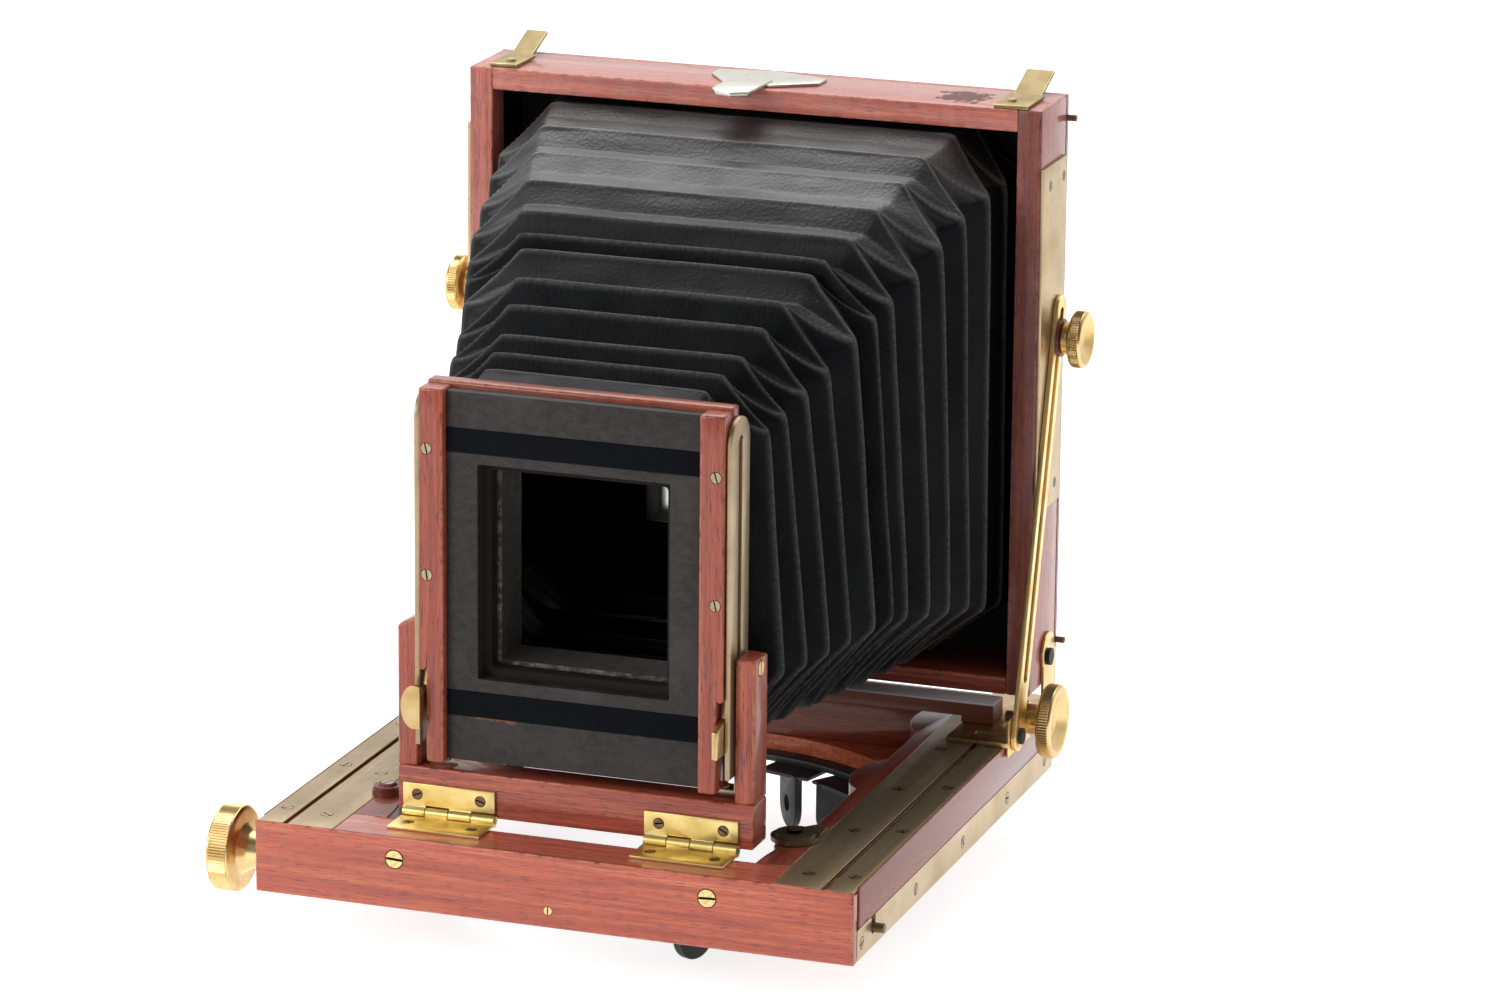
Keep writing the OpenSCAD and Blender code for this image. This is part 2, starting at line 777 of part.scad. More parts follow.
// A turning catch: a flat plate whose narrower rear end is bent up for the finger.
module catch(front, low, high) {
  flat_z = body_top_z + 0.2;
  difference() {
    union() {
      block([low, front, flat_z], [high, 209, flat_z + 1.2]);
      translate([low + 1.2, 0, 0]) rotate([90, 0, 90]) linear_extrude(high - low - 2.2)
        polygon([[208, flat_z], [209.5, flat_z], [224, flat_z + 5.6], [223.4, flat_z + 6.8],
          [208.5, flat_z + 1.2], [208, flat_z + 1.2]]);
    }
    translate([90, 196, body_top_z - 1]) cylinder(h = 4, r = 1.5 + running);
  }
}

module catch_left() {
  color(BRASS) from_front() left() catch(190.8, 86, 95.8);
}

module catch_right() {
  color(BRASS) from_front() catch(189.2, 85.5, 97.5);
}

// The reversing back: a frame that closes the body, with the opening for the plate.
module reversing_back() {
  color(WOOD) from_front() difference() {
    union() {
      block([-hx, body_back_y, body_low_z], [hx, 221.3, body_top_z]);
      block([-97, 221.3, body_low_z + 5.1], [97, 232, body_top_z - 5]);
    }
    for (z = peg_zs) bar_x(hx - 4, hx + 1, peg_y, z, peg_r);
    block([-plate_half_w, 200, centre_z - plate_half_h], [plate_half_w, 240, centre_z + plate_half_h]);
  }
}

module focusing_frame() {
  color(WOOD) from_front() difference() {
    union() {
      block([-screen_half_w, screen_y, screen_pivot_z], [screen_half_w, 240, 209]);
      bar_x(-screen_half_w, screen_half_w, screen_pivot_y, screen_pivot_z, 3.9);
    }
    block([-plate_half_w, 230, centre_z - plate_half_h], [plate_half_w, 242, centre_z + plate_half_h]);
    block([-glass_half_w - 0.2, 230, centre_z - glass_half_h - 0.2],
      [glass_half_w + 0.2, 235.5, centre_z + glass_half_h + 0.2]);
    both() bar_x(screen_half_w - 6.2, screen_half_w + 1, screen_pivot_y, screen_pivot_z,
      1.5 + running);
  }
}

module ground_glass() {
  color([0.8, 0.84, 0.84]) from_front()
    block([-glass_half_w, 233.5, centre_z - glass_half_h], [glass_half_w, 235.5, centre_z + glass_half_h]);
}

// A slotted strut that leans back from the carriage to the side of the body.
module strut() {
  translate([strut_in, strut_y, strut_z]) rotate([-strut_lean, 0, 0]) rotate([90, 0, 90])
    linear_extrude(strut_t) difference() {
      union() {
        circle(r = 5.2);
        translate([-5.2, 0]) square([10.4, 145]);
        translate([0, 145]) circle(r = 5.2);
      }
      circle(r = 1.5 + running);
      translate([-2.1, 20]) square([4.2, 124]);
      translate([0, 20]) circle(r = 2.1);
      translate([0, 144]) circle(r = 2.1);
    }
}

module strut_right() {
  color(BRASS) from_front() strut();
}

module strut_left() {
  color(BRASS) from_front() left() strut();
}

// Where the stud stands in the strut's slot, with its axis along X.
module at_stud() {
  translate([0, strut_y, strut_z]) rotate([-strut_lean, 0, 0]) translate([0, 0, stud_up])
    rotate([0, 90, 0]) children();
}

// The stud with its fibre washer. It ends just short of the plate on the body.
module stud() {
  at_stud() {
    translate([0, 0, 104]) cylinder(h = 8, r = 2);
    translate([0, 0, 105.65]) cylinder(h = 1.3, r = 6.5);
  }
}

module stud_right() {
  color(WOOD) from_front() stud();
}

module stud_left() {
  color(WOOD) from_front() left() stud();
}

// A knurled nut, turned from the bar with a dished face.
module thumb_nut() {
  at_stud() rotate_extrude($fn = 96) polygon([[2 + running, 107.1], [5.6, 107.1], [5.6, 109.6],
    [8.8, 110.4], [9.75, 111.2], [9.75, 114.6], [9, 115.4], [7.8, 115.4], [4.5, 113.6],
    [0, 113.2], [0, 112.3], [2 + running, 112.3]]);
}

module thumb_nut_right() {
  color(BRASS) from_front() thumb_nut();
}

module thumb_nut_left() {
  color(BRASS) from_front() left() thumb_nut();
}

// The bellows, a pleated tube with cut-off corners. The odd rings are ridges on the top and
// the bottom and valleys on the sides, and the even rings the other way round, so that each
// corner is folded along the lines from the top's ridges to the sides' ridges.
// The pleats stand open at the rear and are closed up in the middle.
ridge_ys = [41, 52, 64.5, 78, 90, 106.5, 111.5, 124.5, 139, 156, 170, 189.5, 206];
bellows_front = 32.8;
bellows_back = 217.6;
rings = 2 * len(ridge_ys) + 1;
top_line = [[41, 171.6], [64.5, 177.9], [90, 190.4], [139, 212], [170, 223.8], [206, 228.9]];
top_half_line = [[41, 37.6], [64.5, 41.2], [106.5, 50.4], [124.5, 57.7], [170, 67.8], [206, 73]];
upper_half_line = [[33, 49.5], [40, 50], [46.5, 57.2], [84, 64.6], [131.8, 79], [180, 88.2]];
upper_line = [[33, 156], [58.2, 161], [108.5, 182.4], [163, 205.1], [217, 211]];
lower_half_line = [[33, 49.5], [40, 50], [45, 63], [84, 73.2], [131.8, 85], [163, 88.6]];
lower_line = [[33, 79], [108.5, 82], [163, 71.5], [217, 60]];
low_half_line = [[33, 38], [80, 45], [150, 60], [217, 70]];
low_line = [[33, 49.5], [150, 47], [217, 46]];
// How much of a fold is left in the top, which is drawn nearly flat at the rear.
top_fold_line = [[100, 1], [118, 0.9], [131, 0.5], [147, 0.35]];
function is_end(k) = k == 0 || k == rings - 1;
function ring_y(k) = k == 0 ? bellows_front : k == rings - 1 ? bellows_back :
  k % 2 == 1 ? ridge_ys[(k - 1) / 2] : (ridge_ys[k / 2 - 1] + ridge_ys[k / 2]) / 2;
function fold_step(k) = min((ring_y(k + 1) - ring_y(k - 1)) / 2, 0.97 * card_w);
function fold_depth(k) = is_end(k) ? 2 : sqrt(card_w * card_w - fold_step(k) * fold_step(k));
function ring_points(k, skin) =
  let (y = ring_y(k), s = skin * leather_t, odd = k % 2,
    fold = fold_depth(k), valley = odd == 1 ? 0 : fold, side_in = s + (odd == 1 ? fold : 0),
    top = lookup(y, top_line) - s - valley * lookup(y, top_fold_line),
    low = lookup(y, low_line) + s + valley,
    upper = lookup(y, upper_half_line) - side_in, lower = lookup(y, lower_half_line) - side_in,
    top_half = lookup(y, top_half_line) - s / 2, low_half = lookup(y, low_half_line) - s / 2,
    upper_z = lookup(y, upper_line), lower_z = lookup(y, lower_line))
  [[-top_half, top], [top_half, top], [upper, upper_z], [lower, lower_z],
    [low_half, low], [-low_half, low], [-lower, lower_z], [-upper, upper_z]];
function skin_points(skin) = [for (k = [0:rings - 1]) for (q = ring_points(k, skin))
  [q[0], ring_y(k), q[1]]];

module bellows() {
  n = 8;
  half = rings * n;
  // Each face between two rings is split along the line that is a ridge.
  outer = [for (k = [0:rings - 2]) for (i = [0:n - 1])
    let (a = k * n + i, b = k * n + (i + 1) % n, c = (k + 1) * n + (i + 1) % n,
      d = (k + 1) * n + i, from_a = (i == 1 || i == 5) == (k % 2 == 1))
    each (from_a ? [[a, b, c], [a, c, d]] : [[a, b, d], [b, c, d]])];
  inner = [for (f = outer) [f[0] + half, f[2] + half, f[1] + half]];
  front = [for (i = [0:n - 1]) each [[i, i + half, (i + 1) % n + half], [i, (i + 1) % n + half,
    (i + 1) % n]]];
  last = (rings - 1) * n;
  back = [for (i = [0:n - 1]) each [[last + i, last + (i + 1) % n, last + (i + 1) % n + half],
    [last + i, last + (i + 1) % n + half, last + i + half]]];
  color(LEATHER) from_front()
    polyhedron(points = concat(skin_points(0), skin_points(1)),
      faces = concat(outer, inner, front, back));
}

outer_rail_left();
outer_rail_right();
rear_cross_bar();
bottom_board();
outer_strips();
side_strips();
pinion_bushes();
turntable_clips();
base_screws();
bellows();
turntable_ring();
leg_lugs();
front_bar();
inner_rail_left();
inner_rail_right();
inner_strips();
racks();
hinge_leaves_lower();
hinge_pins();
extension_screws();
rest_stud();
turn_button();
pinion_shaft();
focus_knob();
u_bottom_bar();
u_arm_left();
u_arm_right();
hinge_leaves_upper();
u_screws();
clamp_lever_left();
clamp_lever_right();
slot_bushes();
lens_rear_frame();
lens_panel();
guide_strips();
felt_bands();
brackets();
lens_screws();
carriage_board();
carriage_plates();
carriage_screws();
rear_knob();
body_side_left();
body_side_right();
body_top();
body_bottom();
body_plates();
body_screws();
centre_catch();
reversing_back();
catch_left();
catch_right();
strut_left();
strut_right();
stud_left();
stud_right();
thumb_nut_left();
thumb_nut_right();
focusing_frame();
ground_glass();
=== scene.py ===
# Plate camera with leather bellows, a rack-driven folding base and a brass turntable.
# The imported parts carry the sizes; each section below finishes one piece or group of pieces.
import math

import bmesh
import bpy
import numpy as np
from mathutils import Matrix, Vector


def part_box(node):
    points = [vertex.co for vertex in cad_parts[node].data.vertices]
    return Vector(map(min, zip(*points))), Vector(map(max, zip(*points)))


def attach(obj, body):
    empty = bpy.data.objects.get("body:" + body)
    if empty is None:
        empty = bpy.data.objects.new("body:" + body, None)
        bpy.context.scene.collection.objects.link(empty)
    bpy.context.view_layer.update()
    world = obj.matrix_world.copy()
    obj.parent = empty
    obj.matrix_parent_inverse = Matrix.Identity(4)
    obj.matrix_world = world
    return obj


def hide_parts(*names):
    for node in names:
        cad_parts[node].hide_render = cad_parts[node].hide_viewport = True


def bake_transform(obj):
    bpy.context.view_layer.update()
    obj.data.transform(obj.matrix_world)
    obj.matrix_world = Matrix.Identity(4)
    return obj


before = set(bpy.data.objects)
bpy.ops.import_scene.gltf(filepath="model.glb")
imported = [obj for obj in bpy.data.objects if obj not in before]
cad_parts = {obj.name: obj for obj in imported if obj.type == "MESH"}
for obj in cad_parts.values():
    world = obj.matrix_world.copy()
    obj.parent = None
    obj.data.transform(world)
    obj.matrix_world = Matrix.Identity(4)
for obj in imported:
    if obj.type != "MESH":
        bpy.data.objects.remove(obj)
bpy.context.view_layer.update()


# The studio: a white sweep under and behind the camera, a large soft lamp overhead and a
# weaker one at the front left. The room behind the viewer is darker than the sweep.
MM = 0.001
floor_z = -0.020
sweep_half = 3.0
room_grey = 0.12
room_light = 0.45
sweep_glow = 0.80
viewer_side = Vector((0.30, -0.90, 0.32)).normalized()


def wired(tree, kind, links, **settings):
    """A new node of a tree. Each socket in links gets its value or its link."""
    node = tree.nodes.new("ShaderNode" + kind)
    for key, value in settings.items():
        setattr(node, key, value)
    for socket, source in links.items():
        if isinstance(source, bpy.types.NodeSocket):
            tree.links.new(source, node.inputs[socket])
        else:
            node.inputs[socket].default_value = source
    return node


class Finish:
    """A surface finish: one shader, and the layers of colour and relief that go on it."""

    def __init__(self, name, sockets):
        self.material = bpy.data.materials.new(name)
        self.material.use_nodes = True
        self.tree = self.material.node_tree
        self.shader = self.tree.nodes["Principled BSDF"]
        for socket, value in sockets.items():
            self.shader.inputs[socket].default_value = value
        self.place = self.tree.nodes.new("ShaderNodeTexCoord").outputs["Object"]
        self.relief = None

    def add(self, kind, links, **settings):
        return wired(self.tree, kind, links, **settings)

    def cloud(self, per_metre, seed, detail=3.0, roughness=0.5, distortion=0.0):
        """Smooth random values; per_metre counts the patches in a metre along X, Y, Z."""
        if not hasattr(per_metre, "__len__"):
            per_metre = (per_metre,) * 3
        place = self.add("Mapping", {"Vector": self.place, "Scale": per_metre,
                                     "Location": (seed * 3.7, seed * 5.3, seed * 7.1)})
        return self.add("TexNoise", {"Vector": place.outputs[0], "Scale": 1.0,
                                     "Detail": detail, "Roughness": roughness,
                                     "Distortion": distortion}).outputs[0]

    def span(self, value, low, high, to_low=0.0, to_high=1.0):
        """The value taken from the span low to high onto another span, and held there."""
        return self.add("MapRange", {"Value": value, "From Min": low, "From Max": high,
                                     "To Min": to_low, "To Max": to_high}).outputs[0]

    def sum(self, kind, a, b=0.0):
        return self.add("Math", {0: a, 1: b}, operation=kind).outputs[0]

    def within(self, *masks):
        """Where all the masks hold."""
        held = masks[0]
        for mask in masks[1:]:
            held = self.sum("MULTIPLY", held, mask)
        return held

    def axis(self, name):
        return self.add("SeparateXYZ", {0: self.place}).outputs[name]

    def aside(self):
        """Distance from the camera's middle plane."""
        return self.sum("ABSOLUTE", self.axis("X"))

    def own(self, name):
        """A value that the mesh carries, such as its wear."""
        return self.add("Attribute", {}, attribute_name=name).outputs["Fac"]

    def shades(self, value, *stops):
        """Colours along a value, each stop a position and a colour."""
        node = self.add("ValToRGB", {"Fac": value})
        elements = node.color_ramp.elements
        while len(elements) < len(stops):
            elements.new(0.5)
        for element, (position, colour) in zip(elements, stops):
            element.position = position
            element.color = (*colour, 1.0)
        return node.outputs[0]

    def over(self, amount, below, above):
        """One colour laid over another; either may be plain."""
        colours = [(*c, 1.0) if isinstance(c, tuple) else c for c in (below, above)]
        return self.add("Mix", {0: amount, 6: colours[0], 7: colours[1]},
                        data_type="RGBA").outputs[2]

    def link(self, socket, source):
        self.tree.links.new(source, self.shader.inputs[socket])

    def colour(self, source):
        self.link("Base Color", source)

    def rough(self, source):
        self.link("Roughness", source)

    def raise_by(self, height, millimetres, strength):
        """Relief that a height from 0 to 1 raises by so many millimetres."""
        links = {"Height": height, "Distance": millimetres * MM, "Strength": strength}
        if self.relief is not None:
            links["Normal"] = self.relief
        self.relief = self.add("Bump", links).outputs[0]
        self.link("Normal", self.relief)


def placed(name, mesh, material):
    """A thing of one material, put into the scene."""
    mesh.materials.append(material)
    thing = bpy.data.objects.new(name, mesh)
    bpy.context.scene.collection.objects.link(thing)
    return thing


def soft_lamp(name, at, towards, size, power):
    """A square soft lamp at a place, turned towards a point."""
    data = bpy.data.lights.new(name, "AREA")
    data.size = size
    data.energy = power
    lamp = bpy.data.objects.new(name, data)
    bpy.context.scene.collection.objects.link(lamp)
    lamp.location = at
    lamp.rotation_euler = (Vector(towards) - Vector(at)).to_track_quat("-Z", "Y").to_euler()


world = bpy.data.worlds.new("studio")
bpy.context.scene.world = world
world.use_nodes = True
room = world.node_tree
background = room.nodes["Background"]
room_ray = wired(room, "LightPath", {}).outputs
heading = wired(room, "TexCoord", {}).outputs["Generated"]
facing_viewer = wired(room, "VectorMath", {0: heading, 1: viewer_side},
                      operation="DOT_PRODUCT").outputs["Value"]
mirror_tone = wired(room, "MapRange", {"Value": facing_viewer, "From Min": -0.10,
                                       "From Max": 0.55, "To Min": 1.0, "To Max": room_grey},
                    interpolation_type="SMOOTHSTEP").outputs["Result"]
seen_in_gloss = wired(room, "Mix", {"Factor": room_ray["Is Glossy Ray"], "A": room_light,
                                    "B": mirror_tone}).outputs["Result"]
seen_plain = wired(room, "Math", {0: room_ray["Is Camera Ray"],
                                  1: room_ray["Is Transmission Ray"]},
                   operation="MAXIMUM").outputs[0]
strength = wired(room, "Math", {0: seen_plain, 1: seen_in_gloss}, operation="MAXIMUM").outputs[0]
room.links.new(strength, background.inputs["Strength"])
background.inputs["Color"].default_value = (1.0, 1.0, 1.0, 1.0)

soft_lamp("overhead_softbox", (-0.45, 0.70, 1.45), (0.0, 0.0, 0.12), 1.5, 16.0)
soft_lamp("front_softbox", (-1.15, -1.60, 0.85), (0.0, 0.0, 0.08), 1.1, 17.0)

paper = Finish("white_paper", {"Base Color": (0.80, 0.80, 0.81, 1.0), "Roughness": 0.9,
                               "Emission Color": (1.0, 1.0, 1.0, 1.0)})
paper_ray = paper.add("LightPath", {}).outputs
paper.link("Emission Strength", paper.sum("MULTIPLY", paper.sum(
    "MAXIMUM", paper_ray["Is Camera Ray"], paper_ray["Is Glossy Ray"]), sweep_glow))
sweep_mesh = bpy.data.meshes.new("sweep")
sweep_mesh.from_pydata([(x * sweep_half, y * sweep_half, floor_z) for x, y in
                        ((-1, -1), (1, -1), (1, 1), (-1, 1))], [], [(0, 1, 2, 3)])
placed("sweep", sweep_mesh, paper.material)

camera_data = bpy.data.cameras.new("view")
camera_data.lens = 148.43
camera_data.sensor_width = 36.0
camera_data.sensor_fit = "HORIZONTAL"
camera_data.clip_end = 20.0
camera = bpy.data.objects.new("view", camera_data)
bpy.context.scene.collection.objects.link(camera)
camera_at = (0.6768, -1.8579, 0.6642)
camera_right = Vector((0.94335, 0.33178, 0.00913))
camera_up = Vector((-0.09719, 0.24982, 0.96345))
camera_back = camera_right.cross(camera_up)
camera.matrix_world = Matrix.Translation(camera_at) @ Matrix(
    (camera_right, camera_up, camera_back)).transposed().to_4x4()
bpy.context.scene.camera = camera
bpy.context.scene.view_settings.view_transform = "Standard"


# The outer rails of the base are mahogany boards, planed, with their long edges just eased
# and the whole given clear varnish. Screwed brass strips are let into their tops and sides.
FRONT_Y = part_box("front_bar")[0].y


def spot(x, y, z):
    """A place in metres from millimetres, with y counted from the front of the base."""
    return Vector((x * MM, FRONT_Y + y * MM, z * MM))


def along(grain, lengthwise, across):
    """Patches in a metre, long in the direction of the grain."""
    return tuple(lengthwise if axis == grain else across for axis in "XYZ")


def tinted(tone, shade):
    """A colour made darker or paler."""
    return tuple(c * tone for c in shade)


def mahogany(name, grain, seed, tone, warm=0.0, paint=None, painted_reflection=0.0):
    """Varnished mahogany. paint gives where it is blackened, from a function of the finish; the
    last argument is how strongly a pale painted reflection of the white room is laid over the wood
    in patches."""
    wood = Finish(name, {"Roughness": 0.45, "Coat Weight": 0.6, "Coat Roughness": 0.12,
                         "Specular IOR Level": 0.3})
    fibre = wood.cloud(along(grain, 14.0, 430.0), seed, 5.0, 0.66)
    figure = wood.cloud(along(grain, 3.0, 48.0), seed + 1.0, 3.0, 0.55, 0.4)
    pore = wood.cloud(along(grain, 190.0, 4200.0), seed + 2.0, 2.0, 0.5)
    stroke = wood.cloud(along(grain, 42.0, 1500.0), seed + 3.0, 4.0, 0.6)
    wear_and_sheen = wood.cloud(230.0, seed + 4.0, 4.0, 0.7)
    dark, mid, pale = [tinted(tone, shade) for shade in (
        (0.370 + 0.05 * warm, 0.052 + 0.016 * warm, 0.029 - 0.004 * warm),
        (0.580 + 0.05 * warm, 0.106 + 0.032 * warm, 0.056 - 0.006 * warm),
        (0.780 + 0.05 * warm, 0.205 + 0.055 * warm, 0.110 - 0.010 * warm))]
    body = wood.shades(fibre, (0.30, dark), (0.50, mid), (0.70, pale))
    body = wood.over(wood.span(figure, 0.36, 0.68, 0.0, 0.45), body, tinted(0.66, mid))
    body = wood.over(wood.span(stroke, 0.54, 0.66, 0.0, 0.55), body,
                     tinted(tone, (0.245, 0.056, 0.048)))
    body = wood.over(wood.span(pore, 0.58, 0.66, 0.0, 0.80), body,
                     tinted(tone, (0.085, 0.022, 0.020)))
    # Eased edges go paler orange in patches: worn wood and a painted highlight.
    worn_and_highlit = wood.sum("MULTIPLY", wood.own("eased"), wood.span(wear_and_sheen, 0.44, 0.60, 0.05, 0.55))
    body = wood.over(worn_and_highlit, body, tinted(tone, (0.74, 0.26, 0.11)))
    bruised = wood.sum("MULTIPLY", wood.own("eased"), wood.span(wear_and_sheen, 0.44, 0.33, 0.0, 0.8))
    body = wood.over(bruised, body, tinted(tone, (0.10, 0.028, 0.020)))
    # A pale painted reflection of the white room, laid over the wood in patches.
    if painted_reflection:
        body = wood.over(wood.span(wear_and_sheen, 0.35, 0.65, painted_reflection * 0.6, painted_reflection * 1.4), body,
                         (0.78, 0.80, 0.86))
    matt = 0.0
    if paint:
        matt = paint(wood)
        body = wood.over(matt, body, (0.021, 0.018, 0.017))
        wood.link("Coat Weight", wood.span(matt, 0.0, 1.0, 0.6, 0.0))
        wood.link("Specular IOR Level", wood.span(matt, 0.0, 1.0, 0.3, 0.12))
    wood.colour(body)
    wood.rough(wood.sum("ADD", wood.span(fibre, 0.3, 0.7, 0.38, 0.52),
                        wood.sum("MULTIPLY", matt, 0.35)))
    wood.raise_by(wood.span(pore, 0.58, 0.70, 1.0, 0.0), 0.05, 0.5)
    wood.raise_by(figure, 0.25, 0.12)
    return wood.material


def dress(node, material):
    """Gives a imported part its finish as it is."""
    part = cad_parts[node]
    part.data.materials.clear()
    part.data.materials.append(material)


def keep_piece(bm, name, body, material, stands_for):
    """Makes a piece from a finished mesh and fixes it to its body."""
    mesh = bpy.data.meshes.new(name)
    bm.to_mesh(mesh)
    bm.free()
    if "custom_normal" in mesh.attributes:
        mesh.attributes.remove(mesh.attributes["custom_normal"])
    piece = placed(name, mesh, material)
    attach(piece, body)
    if stands_for:
        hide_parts(*stands_for)
    return piece


def corners_of(face):
    """The two opposite corners of the box round a face."""
    return [tuple(pick(v.co[axis] for v in face.verts) for axis in range(3)) for pick in (min, max)]


def eased(node, suffix, body, material, radius, shortest, segments=3, reshape=None):
    """A part with its sharp edges rounded over by a radius in millimetres. Edges shorter
    than the shortest, such as those round a screw hole, stay sharp. reshape moves a point."""
    bm = bmesh.new()
    bm.from_mesh(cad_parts[node].data)
    if reshape:
        for vert in bm.verts:
            vert.co = reshape(vert.co)
    bmesh.ops.remove_doubles(bm, verts=bm.verts, dist=2e-6)
    bmesh.ops.dissolve_limit(bm, angle_limit=math.radians(0.6), verts=bm.verts, edges=bm.edges)
    # Big faces with a hollow outline are cut up, so that the bevel can't fold them over.
    hooked = [face for face in bm.faces
              if 0.2 * math.dist(*corners_of(face)) ** 2 > face.calc_area() > 1e-4
              and len(face.verts) > 5]
    bmesh.ops.connect_verts_concave(bm, faces=hooked)
    # Narrow faces in a run of slight turns are the facets of a round form.
    for face in bm.faces:
        turning = sum(0.01 < edge.calc_face_angle(0.0) < math.radians(25) for edge in face.edges)
        narrow = min(edge.calc_length() for edge in face.edges) < 4.0 * MM
        face.smooth = len(face.verts) < 5 and turning > 1 and narrow
    sharp = [edge for edge in bm.edges if edge.calc_face_angle(0.0) > math.radians(38)
             and edge.calc_length() > shortest * MM]
    layer = bm.faces.layers.float.new("eased")
    made = bmesh.ops.bevel(bm, geom=sharp, offset=radius * MM, offset_type="OFFSET",
                           segments=segments, profile=0.5, affect="EDGES",
                           clamp_overlap=False, miter_outer="ARC")
    for face in made["faces"]:
        face.smooth = True
        face[layer] = 1.0
    piece = keep_piece(bm, node + suffix, body, material, [node])
    piece.data.set_sharp_from_angle(angle=math.radians(40))


def board(node, body, wood, radius, shortest):
    """A wooden part with its edges eased."""
    eased(node, "_board", body, wood, radius, shortest)


for side, seed in (("left", 1.0), ("right", 2.0)):
    board("outer_rail_" + side, "base", mahogany("rail_wood_" + side, "Y", seed, 0.72), 0.5, 12.0)


# The rear cross bar and the bottom board close the base. The board is open in the middle for
# the turntable, and both are the same varnished wood, with the grain across.
board("rear_cross_bar", "base", mahogany("cross_bar_wood", "X", 3.0, 0.55, 0.5), 0.6, 12.0)
board("bottom_board", "base", mahogany("bottom_wood", "X", 4.0, 1.45, 1.0), 0.5, 12.0)


# The strips on the rails are sheet brass that has gone dull, with small dark spots, rubbing
# marks along the slide and wear at the screws.
def plate(node, body, metal, radius, shortest, reshape=None):
    """A metal part with its edges broken."""
    eased(node, "_plate", body, metal, radius, shortest, 2, reshape)


def sheet_brass(name, lengthwise, seed, tone=1.0, rough=0.42):
    brass = Finish(name, {"Metallic": 0.72})
    patch = brass.cloud(42.0, seed, 4.0, 0.6)
    speck = brass.cloud(900.0, seed + 1.0, 2.0, 0.5)
    rub = brass.cloud(along(lengthwise, 12.0, 2600.0), seed + 2.0, 2.0)
    body = brass.shades(patch, (0.25, tinted(tone, (0.290, 0.212, 0.115))),
                        (0.50, tinted(tone, (0.350, 0.263, 0.155))),
                        (0.75, tinted(tone, (0.405, 0.315, 0.198))))
    body = brass.over(brass.span(speck, 0.64, 0.74, 0.0, 0.55), body, (0.13, 0.10, 0.065))
    body = brass.over(brass.span(rub, 0.58, 0.75, 0.0, 0.30), body, (0.66, 0.58, 0.42))
    # The eased edges are paler: a painted highlight.
    body = brass.over(brass.sum("MULTIPLY", brass.own("eased"), 0.35), body, (0.70, 0.60, 0.40))
    brass.colour(body)
    brass.rough(brass.span(patch, 0.3, 0.7, rough + 0.07, rough - 0.05))
    brass.raise_by(rub, 0.012, 0.6)
    brass.raise_by(speck, 0.01, 0.5)
    return brass.material


strip_brass = sheet_brass("strip_brass", "Y", 5.0)
side_brass = sheet_brass("side_strip_brass", "Y", 6.0, 1.75, 0.36)
plate("outer_strips", "base", strip_brass, 0.12, 6.0)
plate("side_strips", "base", side_brass, 0.12, 6.0)


# The screws have flat countersunk heads. Each was driven home by hand, so that no two slots stand
# alike. The slots and the ring round each head are darkened with painted shade.
def screw_finish(name, tone, seed):
    metal = Finish(name, {"Metallic": 1.0})
    bright = metal.cloud(700.0, seed, 3.0, 0.6)
    body = metal.shades(bright, (0.30, tinted(0.6, tone)), (0.62, tone))
    # The slots and the rim of each head are darkened with painted shade.
    metal.colour(metal.over(metal.own("slot_shade"), body, (0.020, 0.013, 0.009)))
    metal.rough(metal.sum("MAXIMUM", metal.own("slot_shade"), metal.span(bright, 0.3, 0.7, 0.46, 0.34)))
    metal.raise_by(metal.cloud(2400.0, seed + 1.0, 2.0), 0.03, 0.5)
    return metal.material


def screw_heads(name, body, material, stands_for, places):
    """Slotted heads. A place is a point, the way it faces, a radius and a slot angle."""
    bm = bmesh.new()
    # How deep each point lies in painted shade: full in the slot, nearly full on the rim.
    slot_shade = bm.verts.layers.float.new("slot_shade")
    steps = 14
    slot_width, slot_depth = 0.21, 0.22
    for at, facing, radius, angle in places:
        half = radius * slot_width / 2
        start = math.asin(half / radius)
        turn = Vector(facing).to_track_quat("Z", "Y").to_matrix().to_4x4()
        stand = Matrix.Translation(at) @ turn @ Matrix.Rotation(math.radians(angle), 4, "Z")
        new = []
        for side in (0.0, math.pi):
            arc = [start + (math.pi - 2 * start) * k / steps + side for k in range(steps + 1)]
            rims = []
            for level, size in ((-2.5 * slot_depth, 0.97), (0.0, 1.0), (0.06, 0.90), (0.08, 0.88)):
                ring = []
                for a in arc:
                    x, y = radius * size * math.cos(a), radius * size * math.sin(a)
                    inset = 0.045 * radius if level > 0.07 else 0.0
                    y = (max(y, half + inset) if side == 0.0 else min(y, -half - inset))
                    ring.append(bm.verts.new((x * MM, y * MM, level * radius * 0.4 * MM)))
                    ring[-1][slot_shade] = 1.0 if level < 0.01 else 0.9 if level < 0.07 else 0.0
                rims.append(ring)
                new += ring
            for low, high in zip(rims, rims[1:]):
                for k in range(len(arc)):
                    j = (k + 1) % len(arc)
                    bm.faces.new((low[k], low[j], high[j], high[k])).smooth = k < steps
            bm.faces.new(rims[-1])
        floor = [bm.verts.new((radius * 0.98 * MM * math.cos(a), radius * 0.98 * MM * math.sin(a),
                               -slot_depth * radius * MM))
                 for a in [2 * math.pi * k / (2 * steps) for k in range(2 * steps)]]
        for vert in floor:
            vert[slot_shade] = 1.0
        bm.faces.new(floor)
        new += floor
        bmesh.ops.transform(bm, matrix=stand, verts=new)
    return keep_piece(bm, name, body, material, stands_for)


